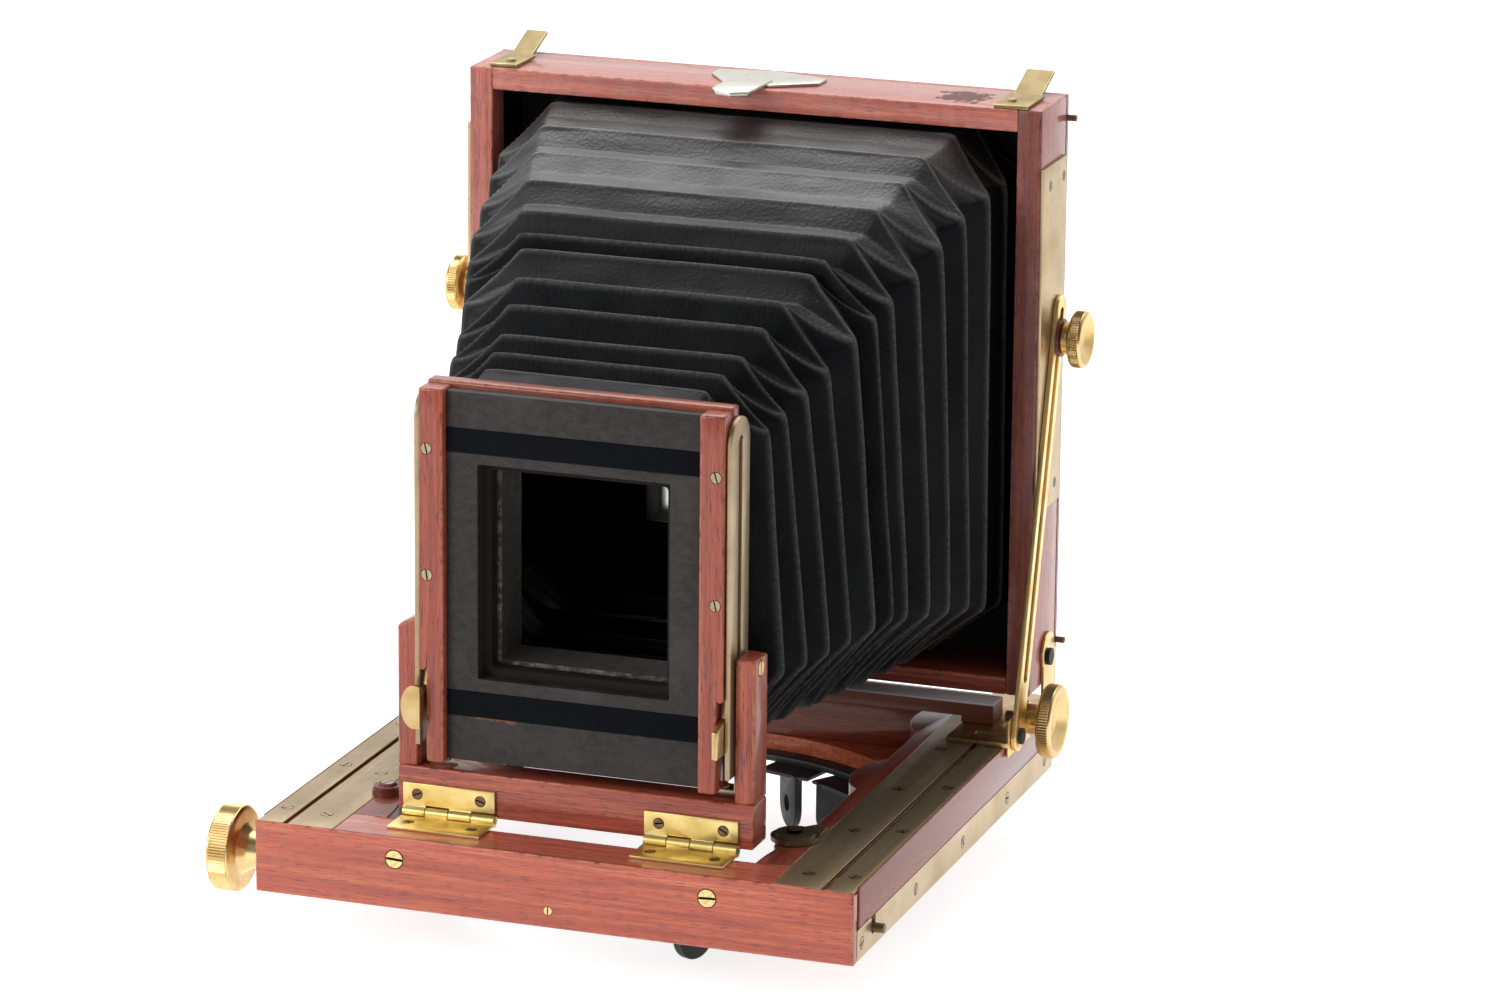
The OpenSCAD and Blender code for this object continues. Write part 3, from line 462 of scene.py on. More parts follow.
dull_screw = screw_finish("dull_screw_brass", (0.44, 0.36, 0.23), 7.0)
OUTER_SCREW_YS = (16.0, 64.5, 113.0, 161.5, 210.0)
SIDE_SCREW_YS = (9.5, 65.0, 116.0, 166.0, 210.0)
top_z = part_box("outer_strips")[1].z / MM
rail_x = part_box("side_strips")[1].x / MM
base_heads = []
for sign in (-1, 1):
    for k, y in enumerate(OUTER_SCREW_YS):
        base_heads.append((spot(sign * 97.7, y, top_z), (0, 0, 1), 2.1, 37 * k + 20 * sign + 60))
    for k, y in enumerate(SIDE_SCREW_YS):
        base_heads.append((spot(sign * rail_x, y, 4.9), (sign, 0, 0), 2.15, 53 * k + 15))
screw_heads("base_screw_heads", "base", dull_screw, ["base_screws"], base_heads)


# Brass bushes carry the pinion's shaft, and four round brass plates keep the turntable in
# its rebate under the board.
def turned_brass(name, seed, tone=1.0, rough=0.30, yellow=0.0):
    brass = Finish(name, {"Metallic": 1.0})
    cloudy = brass.cloud(120.0, seed, 4.0, 0.55)
    speck = brass.cloud(1500.0, seed + 1.0, 2.0)
    dark, mid, pale = [(r * tone, g * tone + 0.08 * yellow, b * tone - 0.04 * yellow)
                       for r, g, b in ((0.66, 0.44, 0.17), (0.77, 0.55, 0.25), (0.84, 0.64, 0.33))]
    body = brass.shades(cloudy, (0.28, dark), (0.52, mid), (0.76, pale))
    body = brass.over(brass.span(speck, 0.66, 0.78, 0.0, 0.55), body, (0.30, 0.19, 0.07))
    # The eased edges are paler: a painted highlight.
    body = brass.over(brass.sum("MULTIPLY", brass.own("eased"), 0.5), body, (0.95, 0.82, 0.48))
    brass.colour(body)
    brass.rough(brass.span(cloudy, 0.3, 0.7, rough + 0.08, rough - 0.05))
    brass.raise_by(brass.cloud(1900.0, seed + 2.0, 2.0), 0.012, 0.5)
    return brass.material


bright_brass = turned_brass("lacquered_brass", 8.0)
dress("pinion_bushes", bright_brass)
dress("turntable_clips", strip_brass)


# The turntable is an iron ring, blackened in the fire, with three pairs of lugs that take the
# pins of the tripod's legs.
def black_metal(name, seed, grey=0.055, also=None):
    iron = Finish(name, {"Metallic": 0.4, "Specular IOR Level": 0.3})
    patch = iron.cloud(70.0, seed, 4.0, 0.6)
    body = iron.shades(patch, (0.30, tinted(grey, (0.7, 0.75, 0.8))),
                       (0.60, tinted(grey, (1.2, 1.3, 1.4))))
    # The eased edges are paler grey: a painted highlight.
    body = iron.over(iron.sum("MULTIPLY", iron.own("eased"), 0.4), body, (0.30, 0.31, 0.32))
    if also:
        body = also(iron, body)
    iron.colour(body)
    iron.rough(iron.span(patch, 0.3, 0.7, 0.62, 0.48))
    iron.raise_by(iron.cloud(1200.0, seed + 1.0, 3.0), 0.03, 0.5)
    return iron.material


fired_iron = black_metal("fired_iron", 9.0)
eased("turntable_ring", "_iron", "turntable", fired_iron, 0.35, 0.9, 2)
eased("leg_lugs", "_iron", "turntable", fired_iron, 0.3, 0.9, 2)


# The sliding frame: the front bar and the two inner rails, with shaped inner edges, carry
# brass strips of their own and the racks under them.
board("front_bar", "extension",
      mahogany("front_bar_wood", "X", 11.0, 1.16, 0.25, painted_reflection=0.025), 0.55, 8.0)
for side, seed in (("left", 12.0), ("right", 13.0)):
    board("inner_rail_" + side, "extension",
          mahogany("inner_wood_" + side, "Y", seed, 0.48), 0.5, 1.6)
plate("inner_strips", "extension", strip_brass, 0.12, 6.0)
dress("racks", strip_brass)


# Two brass butt hinges join the front frame to the bar. Their leaves are bright, and their
# knuckles turn on steel pins.
hinge_brass = turned_brass("hinge_brass", 14.0, 1.04, 0.36, 0.6)
eased("hinge_leaves_lower", "_leaf", "extension", hinge_brass, 0.15, 1.5, 2)
dress("hinge_pins", strip_brass)
bronze_screw = screw_finish("bronze_screw", (0.23, 0.15, 0.10), 15.0)
bright_screw = screw_finish("bright_screw_brass", (0.86, 0.66, 0.30), 16.0)
HINGE_XS = (-43.2, 40.4)
INNER_SCREW_YS = (14.0, 60.0, 106.0, 152.0)
bar_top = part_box("front_bar")[1].z / MM
front_heads = [(spot(s * 53.6, 0.0, 16.8), (0, -1, 0), 3.3, 3 * s) for s in (-1, 1)]
front_heads.append((spot(-0.5, 0.0, 5.8), (0, -1, 0), 1.6, 88))
strip_heads = [(spot(s * 83.0, y, bar_top), (0, 0, 1), 2.1, 47 * k + 31 * s)
               for s in (-1, 1) for k, y in enumerate(INNER_SCREW_YS)]
leaf_heads = [(spot(x + s * 11, 13.5, bar_top + 1.0), (0, 0, 1), 1.9, 12 * s + x)
              for x in HINGE_XS for s in (-1, 1)]
button_head = [(spot(68.0, 44.0, bar_top + 3.8), (0, 0, 1), 2.6, 25)]
stud_low, stud_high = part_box("rest_stud")
button_head.append((((stud_low + stud_high) / 2).xy.to_3d() + Vector((0, 0, stud_high.z)),
                    (0, 0, 1), 2.4, 70))
screw_heads("bar_screw_heads", "extension", bright_screw, ["extension_screws"],
            front_heads)
screw_heads("strip_screw_heads", "extension", dull_screw, ["extension_screws"],
            strip_heads + button_head)
screw_heads("hinge_screw_heads", "extension", bronze_screw,
            ["extension_screws"], leaf_heads)


# The stud on the left rail is two red fibre discs under a screw; the button on the right one
# is a worn brass plate that turns about its screw.
def fibre_finish(name, seed):
    fibre = Finish(name, {"Roughness": 0.45, "Coat Weight": 0.3, "Coat Roughness": 0.25})
    mottled = fibre.cloud(600.0, seed, 4.0)
    fibre.colour(fibre.shades(mottled, (0.3, (0.11, 0.018, 0.014)), (0.7, (0.22, 0.04, 0.03))))
    fibre.raise_by(fibre.cloud(2600.0, seed + 1.0, 3.0), 0.03, 0.5)
    return fibre.material


red_fibre = fibre_finish("red_fibre", 17.0)
dress("rest_stud", red_fibre)
plate("turn_button", "turn_button",
      sheet_brass("button_brass", "X", 18.0, 0.55, 0.34), 0.2, 0.7)


# The pinion's shaft is drawn rod with the pinions on it, and ends in a large knob, turned
# from brass bar, with a straight knurl round its rim.
def softened(profile, radius):
    """The profile with each inner corner rounded off by about the radius."""
    points = [Vector(p) for p in profile]
    out = [points[0]]
    for before, corner, after in zip(points, points[1:], points[2:]):
        reach = min(radius, (before - corner).length * 0.45, (after - corner).length * 0.45)
        a = corner + (before - corner).normalized() * reach
        b = corner + (after - corner).normalized() * reach
        for t in (0.0, 0.33, 0.67, 1.0):
            out.append(a * (1 - t) ** 2 + corner * 2 * t * (1 - t) + b * t ** 2)
    out.append(points[-1])
    return out


def turned(name, body, material, stands_for, centre, facing, profile, teeth):
    """A piece turned on the lathe. profile is radius and distance along the axis in
    millimetres, from the back to the face; the rim is cut with so many straight teeth."""
    knurl = 0.32
    outline = softened(profile, 0.5)
    widest = max(p.x for p in outline)
    count = teeth * 2
    bm = bmesh.new()
    rings = []
    for p in outline:
        on_rim = p.x > widest - 0.05
        ring = []
        if p.x < 1e-6:
            ring = [bm.verts.new((0.0, 0.0, p.y * MM))] * count
        else:
            for k in range(count):
                r = p.x - (knurl if on_rim and k % 2 else 0.0)
                a = 2 * math.pi * k / count
                ring.append(bm.verts.new((r * MM * math.cos(a), r * MM * math.sin(a), p.y * MM)))
        rings.append((ring, on_rim))
    for (low, rim_a), (high, rim_b) in zip(rings, rings[1:]):
        for k in range(count):
            j = (k + 1) % count
            corners = []
            for v in (low[k], low[j], high[j], high[k]):
                if v not in corners:
                    corners.append(v)
            if len(corners) > 2:
                bm.faces.new(corners).smooth = not (rim_a and rim_b)
    bmesh.ops.recalc_face_normals(bm, faces=bm.faces)
    turn = Vector(facing).to_track_quat("Z", "Y").to_matrix().to_4x4()
    bmesh.ops.transform(bm, matrix=Matrix.Translation(centre) @ turn, verts=bm.verts)
    return keep_piece(bm, name, body, material, stands_for)


stub_end_x = 0.1062


def short_stub(p):
    """The right end of the shaft, cut off near the bush."""
    return Vector((min(p.x, stub_end_x), p.y, p.z))


eased("pinion_shaft", "_rod", "pinion",
      sheet_brass("shaft_brass", "X", 19.5, 0.5, 0.45), 0.1, 999.0, 2, short_stub)
knob_brass = turned_brass("knob_brass", 19.0, 1.0, 0.30)
turned("focus_knob_turned", "pinion", knob_brass, ["focus_knob"],
       spot(0, 21.0, 6.4), (-1, 0, 0),
       [(1.7, 103.4), (5.6, 103.4), (5.6, 108.0), (6.4, 112.5), (8.5, 115.3), (13.2, 115.3),
        (14.4, 116.2), (14.4, 122.9), (13.6, 123.7), (10.5, 123.7), (8.5, 122.6), (0.0, 122.2)],
       96)


# The front frame is a bar with two short arms, tenoned and varnished. The brass levers inside
# the arms lock the lens frame, and brass screws go through both.
frame_wood = mahogany("front_frame_wood", "X", 20.0, 0.80)
arm_wood = mahogany("front_arm_wood", "Z", 21.0, 0.88)
board("u_bottom_bar", "front_frame", frame_wood, 0.7, 5.0)
board("u_arm_left", "front_frame", arm_wood, 0.9, 4.0)
board("u_arm_right", "front_frame", arm_wood, 0.9, 4.0)
eased("hinge_leaves_upper", "_leaf", "front_frame", hinge_brass, 0.15, 1.5, 2)
upper_heads = [(spot(x + s * 11, 21.3, 32.3), (0, -1, 0), 1.9, 70 * s + 2 * x)
               for x in HINGE_XS for s in (-1, 1)]
screw_heads("frame_screw_heads", "front_frame", bronze_screw, ["u_screws"],
            upper_heads)
arm_heads = [(spot(s * 61.4, 28.0, 86.0), (s, 0, 0), 2.8, 84) for s in (-1, 1)]
screw_heads("arm_screw_heads", "front_frame", bright_screw, ["u_screws"], arm_heads)
lever_brass = turned_brass("lever_brass", 22.0, 0.68, 0.36)
left_tab_x = -0.0521


def narrowed_tab(p):
    """The left lever's tab stands out by only part of its length."""
    return Vector((max(p.x, left_tab_x + 0.6 * min(p.x - left_tab_x, 0.0)), p.y, p.z))


plate("clamp_lever_left", "lever_left", lever_brass, 0.2, 0.6, narrowed_tab)
plate("clamp_lever_right", "lever_right", lever_brass, 0.2, 0.6)
dress("slot_bushes", bright_brass)


# The lens frame: a mahogany frame with a blackened panel let into its face, held by two guide
# strips under brass screws. Felt bands keep light from passing behind the lens board, and a
# thin black wooden sleeve behind the opening carries the front end of the bellows.
def black_wood(name, seed, grey, bare=None):
    wood = Finish(name, {"Roughness": 0.62, "Specular IOR Level": 0.35})
    grain = wood.cloud((260.0, 300.0, 420.0), seed, 5.0, 0.7)
    dust = wood.cloud(2300.0, seed + 1.0, 2.0)
    smear = wood.cloud(38.0, seed + 2.0, 4.0, 0.6)
    body = wood.shades(grain, (0.34, tinted(grey, (0.55, 0.49, 0.45))),
                       (0.66, tinted(grey, (1.40, 1.20, 1.08))))
    body = wood.over(wood.span(smear, 0.50, 0.68, 0.0, 0.5), body,
                     tinted(grey, (2.0, 1.65, 1.5)))
    body = wood.over(wood.span(dust, 0.68, 0.78, 0.0, 0.5), body, (0.16, 0.14, 0.125))
    scraped = wood.sum("MULTIPLY", wood.own("worn"), wood.span(grain, 0.46, 0.62, 0.0, 0.85))
    body = wood.over(scraped, body, (0.26, 0.21, 0.18))
    if bare:
        body = wood.over(bare(wood), body, (0.30, 0.085, 0.045))
    wood.colour(body)
    wood.raise_by(grain, 0.05, 0.4)
    wood.raise_by(dust, 0.04, 0.4)
    return wood.material


def chipped(wood):
    """Where the paint has chipped off to the wood, along the edge of the lower felt."""
    x, z = wood.axis("X"), wood.axis("Z")
    ragged = wood.sum("ADD", z, wood.sum("MULTIPLY", wood.cloud(420.0, 6.0, 4.0, 0.7), 0.0045))
    return wood.within(wood.span(ragged, 0.0624, 0.0628, 0.0, 0.8),
                       wood.span(x, -0.0345, -0.0330), wood.span(x, -0.0190, -0.0215),
                       wood.span(z, 0.0614, 0.0610))


def felt_finish(name, seed):
    felt = Finish(name, {"Roughness": 1.0, "Sheen Weight": 0.04, "Sheen Roughness": 0.6,
                         "Specular IOR Level": 0.05})
    nap = felt.cloud(1800.0, seed, 4.0, 0.7)
    felt.colour(felt.shades(nap, (0.3, (0.0030, 0.0036, 0.0055)), (0.7, (0.0085, 0.0100, 0.0140))))
    felt.raise_by(nap, 0.15, 0.7)
    return felt.material


def blackened_well(wood):
    """Paint on the edges of the opening and round it, behind the panel."""
    z = wood.axis("Z")
    near_middle = wood.span(wood.aside(), 0.0440, 0.0436)
    above_foot, below_head = wood.span(z, 0.0600, 0.0604), wood.span(z, 0.1600, 0.1596)
    return wood.within(near_middle, above_foot, below_head)


lens_wood = mahogany("lens_frame_wood", "X", 23.0, 0.66, 0.3, blackened_well)
guide_wood = mahogany("guide_wood", "Z", 24.0, 0.80, 0.1)
panel_finish = black_wood("blackened_panel", 25.0, 0.030, chipped)
board("lens_rear_frame", "lens_frame", lens_wood, 1.0, 5.0)
eased("lens_panel", "_board", "lens_frame", panel_finish, 0.3, 5.0)
board("guide_strips", "lens_frame", guide_wood, 0.9, 3.0)
eased("felt_bands", "_cloth", "lens_frame", felt_finish("navy_felt", 26.0), 0.3, 5.0)
plate("brackets", "lens_frame",
      sheet_brass("bracket_brass", "Z", 27.0, 1.15, 0.38), 0.15, 0.8)
# Rings of the sleeve: distance behind the lens frame, half width, bottom and top. The last
# two are its rough front edge.
frame_back = 32.0
sleeve_rings = [(0.2, 31.6, 75.1, 144.4), (1.4, 31.6, 75.1, 144.4), (1.4, 30.2, 76.5, 143.0),
                (18.0, 30.2, 76.5, 143.0), (18.0, 29.0, 77.7, 141.8), (0.8, 29.0, 77.7, 141.8),
                (0.6, 29.0, 77.7, 141.8), (0.2, 29.4, 77.3, 142.2)]
sleeve = bmesh.new()
worn = sleeve.verts.layers.float.new("worn")
rings = [[sleeve.verts.new(spot(x, frame_back + y, z)) for x, z in
          ((-half, low), (half, low), (half, high), (-half, high))]
         for y, half, low, high in sleeve_rings]
for ring, following in zip(rings, rings[1:] + rings[:1]):
    for k in range(4):
        sleeve.faces.new((ring[k], ring[k - 3], following[k - 3], following[k]))
for vert in rings[-2] + rings[-1]:
    vert[worn] = 1.0
bmesh.ops.recalc_face_normals(sleeve, faces=sleeve.faces)
keep_piece(sleeve, "bellows_sleeve", "lens_frame",
           black_wood("sleeve_wood", 25.5, 0.055), ())
lens_heads = [(spot(s * 49.2, 18.0, z), (0, -1, 0), 2.0, 90 + s * 2 + 0.1 * z)
              for s in (-1, 1) for z in (108.0, 150.0)]
screw_heads("lens_screw_heads", "lens_frame", dull_screw, ["lens_screws"],
            lens_heads)


# The carriage slides on the outer rails: a board across the base with brass plates under its
# ends, whose ears take the struts, the body's pivots and the clamping knob.
def reflection_painted_top(name, seed):
    """Dark varnish whose top face is painted pale grey, a painted reflection of the light above it.
    """
    wood = Finish(name, {"Coat Weight": 0.3, "Coat Roughness": 0.2})
    cloudy = wood.cloud((30.0, 90.0, 90.0), seed, 3.0, 0.5)
    fibre = wood.cloud((18.0, 420.0, 420.0), seed + 1.0, 4.0, 0.6)
    body = wood.shades(fibre, (0.30, (0.13, 0.036, 0.022)), (0.70, (0.27, 0.080, 0.048)))
    reflected_grey = wood.shades(cloudy, (0.30, (0.76, 0.74, 0.77)), (0.70, (0.86, 0.84, 0.87)))
    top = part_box("carriage_board")[1].z
    wood.colour(wood.over(wood.span(wood.axis("Z"), top - 0.0007, top - 0.0003), body, reflected_grey))
    wood.rough(wood.span(fibre, 0.3, 0.7, 0.42, 0.56))
    wood.raise_by(fibre, 0.02, 0.4)
    return wood.material


board("carriage_board", "carriage", reflection_painted_top("carriage_wood", 28.0), 0.6, 8.0)
plate("carriage_plates", "carriage",
      turned_brass("plate_brass", 29.0, 0.95, 0.32), 0.15, 0.8)
dress("carriage_screws", black_metal("blued_screw", 30.0))
turned("rear_knob_turned", "rear_knob", knob_brass, ["rear_knob"],
       spot(0, 181.0, 29.0), (1, 0, 0),
       [(0.0, 97.0), (2.0, 97.0), (2.0, 103.9), (5.2, 103.9), (5.2, 109.0), (7.0, 110.6),
        (11.8, 110.6), (12.7, 111.5), (12.7, 115.2), (11.9, 116.0), (10.4, 116.0),
        (6.0, 112.8), (0.0, 112.0)], 84)


# The body is a dovetailed mahogany box, blackened inside behind the edge where the bellows
# are glued. Brass plates on its sides take the struts' studs.
def blackened_inside(wood):
    """Paint on the inner faces, from a line a little behind the front edge."""
    z = wood.axis("Z")
    uneven = wood.sum("MULTIPLY", wood.cloud(160.0, 3.0), 0.002)
    behind_line = wood.span(wood.sum("ADD", wood.axis("Y"), uneven), 0.0905, 0.0910)
    between_sides = wood.span(wood.aside(), 0.0944, 0.0943)
    above_floor, below_lid = wood.span(z, 0.0399, 0.0401), wood.span(z, 0.2306, 0.2305)
    return wood.within(behind_line, between_sides, above_floor, below_lid)


def shaded_front_edge(wood):
    """The paint inside, and painted shade that darkens the front edge in patches."""
    front = wood.span(wood.axis("Y"), spot(0, 190.4, 0).y, spot(0, 189.9, 0).y)
    patchy = wood.span(wood.cloud((60.0, 60.0, 14.0), 9.0), 0.35, 0.65, 0.35, 0.60)
    return wood.sum("MAXIMUM", blackened_inside(wood), wood.sum("MULTIPLY", front, patchy))


def stained_top(wood):
    """The paint inside, and an old dark stain beside the right catch."""
    near = wood.add("VectorMath", {0: wood.place, 1: spot(71.6, 203.0, 238.5)},
                    operation="DISTANCE").outputs["Value"]
    ragged = wood.sum("ADD", near, wood.sum("MULTIPLY", wood.cloud(260.0, 12.0, 4.0), 0.022))
    return wood.sum("MAXIMUM", blackened_inside(wood), wood.span(ragged, 0.0205, 0.0185, 0.0, 0.7))


for side, seed, paint in (("left", 31.0, blackened_inside), ("right", 32.0, shaded_front_edge)):
    board("body_side_" + side, "body",
          mahogany("body_wood_" + side, "Z", seed, 1.1, 0.1, paint, 0.09), 0.6, 5.0)
board("body_top", "body",
      mahogany("body_top_wood", "X", 33.0, 1.1, 0.2, stained_top, 0.09), 0.6, 5.0)
board("body_bottom", "body",
      mahogany("body_bottom_wood", "X", 34.0, 0.7, 0.2, blackened_inside), 0.6, 5.0)


def mixed_screws(metal, body):
    """Brass screws in the catches, dull ones in the plates and brown pegs; the rest black."""
    z = metal.axis("Z")
    on_top = metal.span(z, 0.2384, 0.2386)
    in_plate = metal.within(metal.span(metal.aside(), 0.1018, 0.1020), metal.span(z, 0.09, 0.091))
    peg = metal.span(metal.axis("Y"), 0.1090, 0.1092)
    body = metal.over(in_plate, body, (0.36, 0.30, 0.21))
    body = metal.over(on_top, body, (0.60, 0.46, 0.22))
    return metal.over(peg, body, (0.20, 0.12, 0.075))


def straight_edge(p):
    """The front edge of a plate kept in line with the front of the box down to its foot."""
    on_line = abs(p.y - spot(0, 203.0, 0).y) < 0.0002 and p.z > 0.09
    return Vector((p.x, spot(0, 189.5, 0).y, p.z)) if on_line else p


plate("body_plates", "body",
      sheet_brass("body_plate_brass", "Z", 35.0, 1.65, 0.36), 0.15, 2.0, straight_edge)
dress("body_screws", black_metal("blackened_screw", 36.0, 0.03, mixed_screws))


# The middle catch on top is nickel silver; the two side catches are brass and turn about
# their screws.
def nickel_silver(name, seed):
    nickel = Finish(name, {"Metallic": 1.0})
    cloudy = nickel.cloud(160.0, seed, 4.0, 0.6)
    body = nickel.shades(cloudy, (0.30, (0.50, 0.47, 0.40)), (0.60, (0.62, 0.59, 0.52)))
    nickel.colour(body)
    nickel.rough(nickel.span(cloudy, 0.3, 0.7, 0.38, 0.30))
    nickel.raise_by(nickel.cloud(900.0, seed + 1.0, 3.0), 0.015, 0.5)
    return nickel.material


plate("centre_catch", "body", nickel_silver("nickel_silver", 37.0), 0.25, 1.0)
catch_brass = turned_brass("catch_brass", 37.5, 0.38, 0.42, 0.1)
for side in ("left", "right"):
    plate("catch_" + side, "catch_" + side, catch_brass, 0.2, 0.8)


# The reversing back closes the body. Its face inside the box is blackened, and brass lugs on
# its rear carry the focusing screen.
def blackened_face(wood):
    """Paint on the face inside the box and on the edges of the opening."""
    x, z = wood.aside(), wood.axis("Z")
    face = wood.within(wood.span(wood.axis("Y"), 0.1090, 0.1089), wood.span(x, 0.0944, 0.0943),
                       wood.span(z, 0.0398, 0.0401), wood.span(z, 0.2306, 0.2303))
    well = wood.within(wood.span(x, 0.0480, 0.0478),
                       wood.span(z, 0.0738, 0.0740), wood.span(z, 0.1982, 0.1980))
    return wood.sum("MAXIMUM", face, well)


board("reversing_back", "body",
      mahogany("back_wood", "X", 38.0, 0.9, 0.1, blackened_face), 0.6, 6.0)


def blackened_rebate(wood):
    """Paint inside the opening of the screen's frame."""
    z = wood.axis("Z")
    return wood.within(wood.span(wood.aside(), 0.0520, 0.0518),
                       wood.span(z, 0.0705, 0.0707), wood.span(z, 0.2015, 0.2013),
                       wood.span(wood.axis("Y"), spot(0, 239.6, 0).y, spot(0, 239.4, 0).y))


board("focusing_frame", "screen",
      mahogany("screen_wood", "Z", 39.0, 0.9, 0.1, blackened_rebate), 0.6, 6.0)
glass = Finish("ground_glass", {"Transmission Weight": 1.0, "Roughness": 0.55,
                                "Base Color": (0.92, 0.95, 0.94, 1.0), "IOR": 1.5})
glass.raise_by(glass.cloud(5000.0, 40.0, 2.0), 0.02, 0.6)
dress("ground_glass", glass.material)


# Slotted brass struts hold the body up. The stud of each has a red fibre washer, and a
# knurled nut with a dished face clamps it.
strut_brass = turned_brass("strut_brass", 41.0, 1.35, 0.40)
lean = math.radians(15.8)
strut_reach = 135.7
stud_at = spot(0, 169.0 + strut_reach * math.sin(lean), 26.4 + strut_reach * math.cos(lean))
for side, sign in (("left", -1), ("right", 1)):
    plate("strut_" + side, "strut_" + side, strut_brass, 0.2, 0.5)
    dress("stud_" + side, red_fibre)
    turned("thumb_nut_%s_turned" % side, "nut_" + side, knob_brass,
           ["thumb_nut_" + side], stud_at, (sign, 0, 0),
           [(2.05, 107.1), (5.6, 107.1), (5.6, 109.6), (8.8, 110.4), (9.75, 111.2),
            (9.75, 114.4), (9.2, 115.2), (8.6, 115.4), (5.0, 112.9), (0.0, 111.2)], 72)


# The bellows are thin black leather over card stiffeners, folded and pressed by hand. Twelve
# pleats stand open at the rear, where the top is drawn nearly flat, and close up in the
# middle. The leather is glued round the sleeve in front and inside the box behind.

# Ridges of the top: distance from the front, height, half width of the flat top.
TOP_RIDGES = ((41.0, 171.6, 37.6), (52.0, 174.7, 39.2), (64.5, 177.9, 41.2),
              (78.0, 184.5, 43.9), (90.0, 190.4, 46.1), (106.5, 196.5, 50.4),
              (111.5, 200.6, 53.0), (124.5, 205.0, 57.7), (139.0, 212.0, 61.4),
              (156.0, 217.7, 65.0), (170.0, 223.8, 67.8), (189.5, 228.0, 71.5),
              (206.0, 229.2, 73.0))
BELLOWS_FRONT, BELLOWS_BACK = 32.8, 217.6
CARD = 10.3
LEATHER = 0.8
RIDGE_SPREAD = 0.85
# How deep the top is folded at a distance from the front, as a share of the full fold.
TOP_FOLD = ((100.0, 1.0), (118.0, 0.9), (131.0, 0.5), (147.0, 0.35))
# Ends of the sides: distance from the front, half width, height.
UPPER_CORNER = ((33.0, 49.5, 156.0), (40.0, 50.0, 157.3), (46.5, 57.2, 158.4),
                (58.2, 58.7, 161.0), (84.0, 64.6, 170.1), (108.5, 72.0, 182.4),
                (131.8, 79.0, 192.1), (163.0, 85.0, 205.1), (180.0, 88.2, 209.5),
                (217.6, 88.8, 211.0))
LOWER_CORNER = ((33.0, 49.5, 79.0), (40.0, 50.0, 79.3), (45.0, 63.0, 79.5),
                (58.0, 67.0, 80.0), (84.0, 73.2, 80.6), (108.5, 79.2, 82.0),
                (131.8, 85.0, 78.3), (163.0, 88.6, 71.5), (180.0, 89.4, 67.0),
                (217.6, 89.0, 60.0))
BOTTOM_EDGE = ((33.0, 38.0, 49.5), (80.0, 45.0, 48.5), (150.0, 60.0, 47.0),
               (217.6, 70.0, 46.0))
ROWS_PER_CARD = 16
FLAT_COLUMNS, SIDE_COLUMNS, BOTTOM_COLUMNS = 11, 20, 8
CORNER_SAG = np.array((-1.5, -0.9, -2.0))
# Distances from the front, and how far the leather that faces up is polished there.
TOP_POLISH = ((60.0, 91.0, 97.0, 103.0, 109.0, 150.0, 190.0, 205.0),
              (0.03, 0.05, 0.50, 0.50, 0.10, 1.25, 1.25, 0.6))


def read_off(table, y):
    """The values of a table at a distance from the front."""
    distance, *columns = zip(*table)
    return [np.interp(y, distance, column) for column in columns]


def gathered(count):
    """Steps from 0 up to 1 that lie closer together near both ends."""
    t = np.arange(count) / count
    return t - 0.10 * np.sin(2 * math.pi * t)


def bellows_rings():
    """Ring by ring from the front: whether it is a ridge of the top, its distance, and the
    corner points of its right half. The ridges of the sides lie half a pleat before those of
    the top and bottom."""
    ridges = [row[0] for row in TOP_RIDGES]
    marks = [BELLOWS_FRONT]
    for before, after in zip(ridges, ridges[1:]):
        marks += [before, (before + after) / 2]
    marks += [ridges[-1], BELLOWS_BACK]
    rings = []
    for k, y in enumerate(marks):
        on_top = k % 2 == 1
        if k in (0, len(marks) - 1):
            depth = 2.0
        else:
            depth = math.sqrt(CARD ** 2 - min((marks[k + 1] - marks[k - 1]) / 2, CARD * 0.97) ** 2)
        high, width = read_off(TOP_RIDGES, y)
        ux, uz = read_off(UPPER_CORNER, y)
        lx, lz = read_off(LOWER_CORNER, y)
        bx, bz = read_off(BOTTOM_EDGE, y)
        top_in = 0.0 if on_top else depth
        side_in = depth if on_top else 0.0
        rings.append((on_top, y, [(width, high - top_in * read_off(TOP_FOLD, y)[0]),
                                  (ux - side_in, uz), (lx - side_in, lz), (bx, bz + top_in)]))
    return rings


def panel_row(front_pair, back_pair, back, count, to_ridge, kind):
    """Points across one flat panel, a share of the way back between two rings. Each has its
    distance from the nearest ridge and the kind of its panel."""
    run = []
    for u in np.arange(count) / count:
        here, there = [pair[0] * (1 - u) + pair[1] * u for pair in (front_pair, back_pair)]
        run.append((here * (1 - back) + there * back, to_ridge * CARD, kind))
    return run


def corner_row(here, there, share, steps, sag):
    """Points across a cut-off corner's two faces. here and there are the rings with the top's
    ridge and the side's ridge, each as its point at the flat and its point at the side. The
    fold between the faces sags."""
    run = []
    for across in steps:
        if across > share:
            point = here[0] * (1 - across) + here[1] * (across - share) + there[1] * share
        else:
            point = here[0] * (1 - share) + there[0] * (share - across) + there[1] * across
        sunk = math.sin(math.pi * share) * math.exp(-((across - share) / 0.3) ** 2)
        run.append((point + sag * sunk, abs(across - share) * CARD * 0.9, 1))
    return run


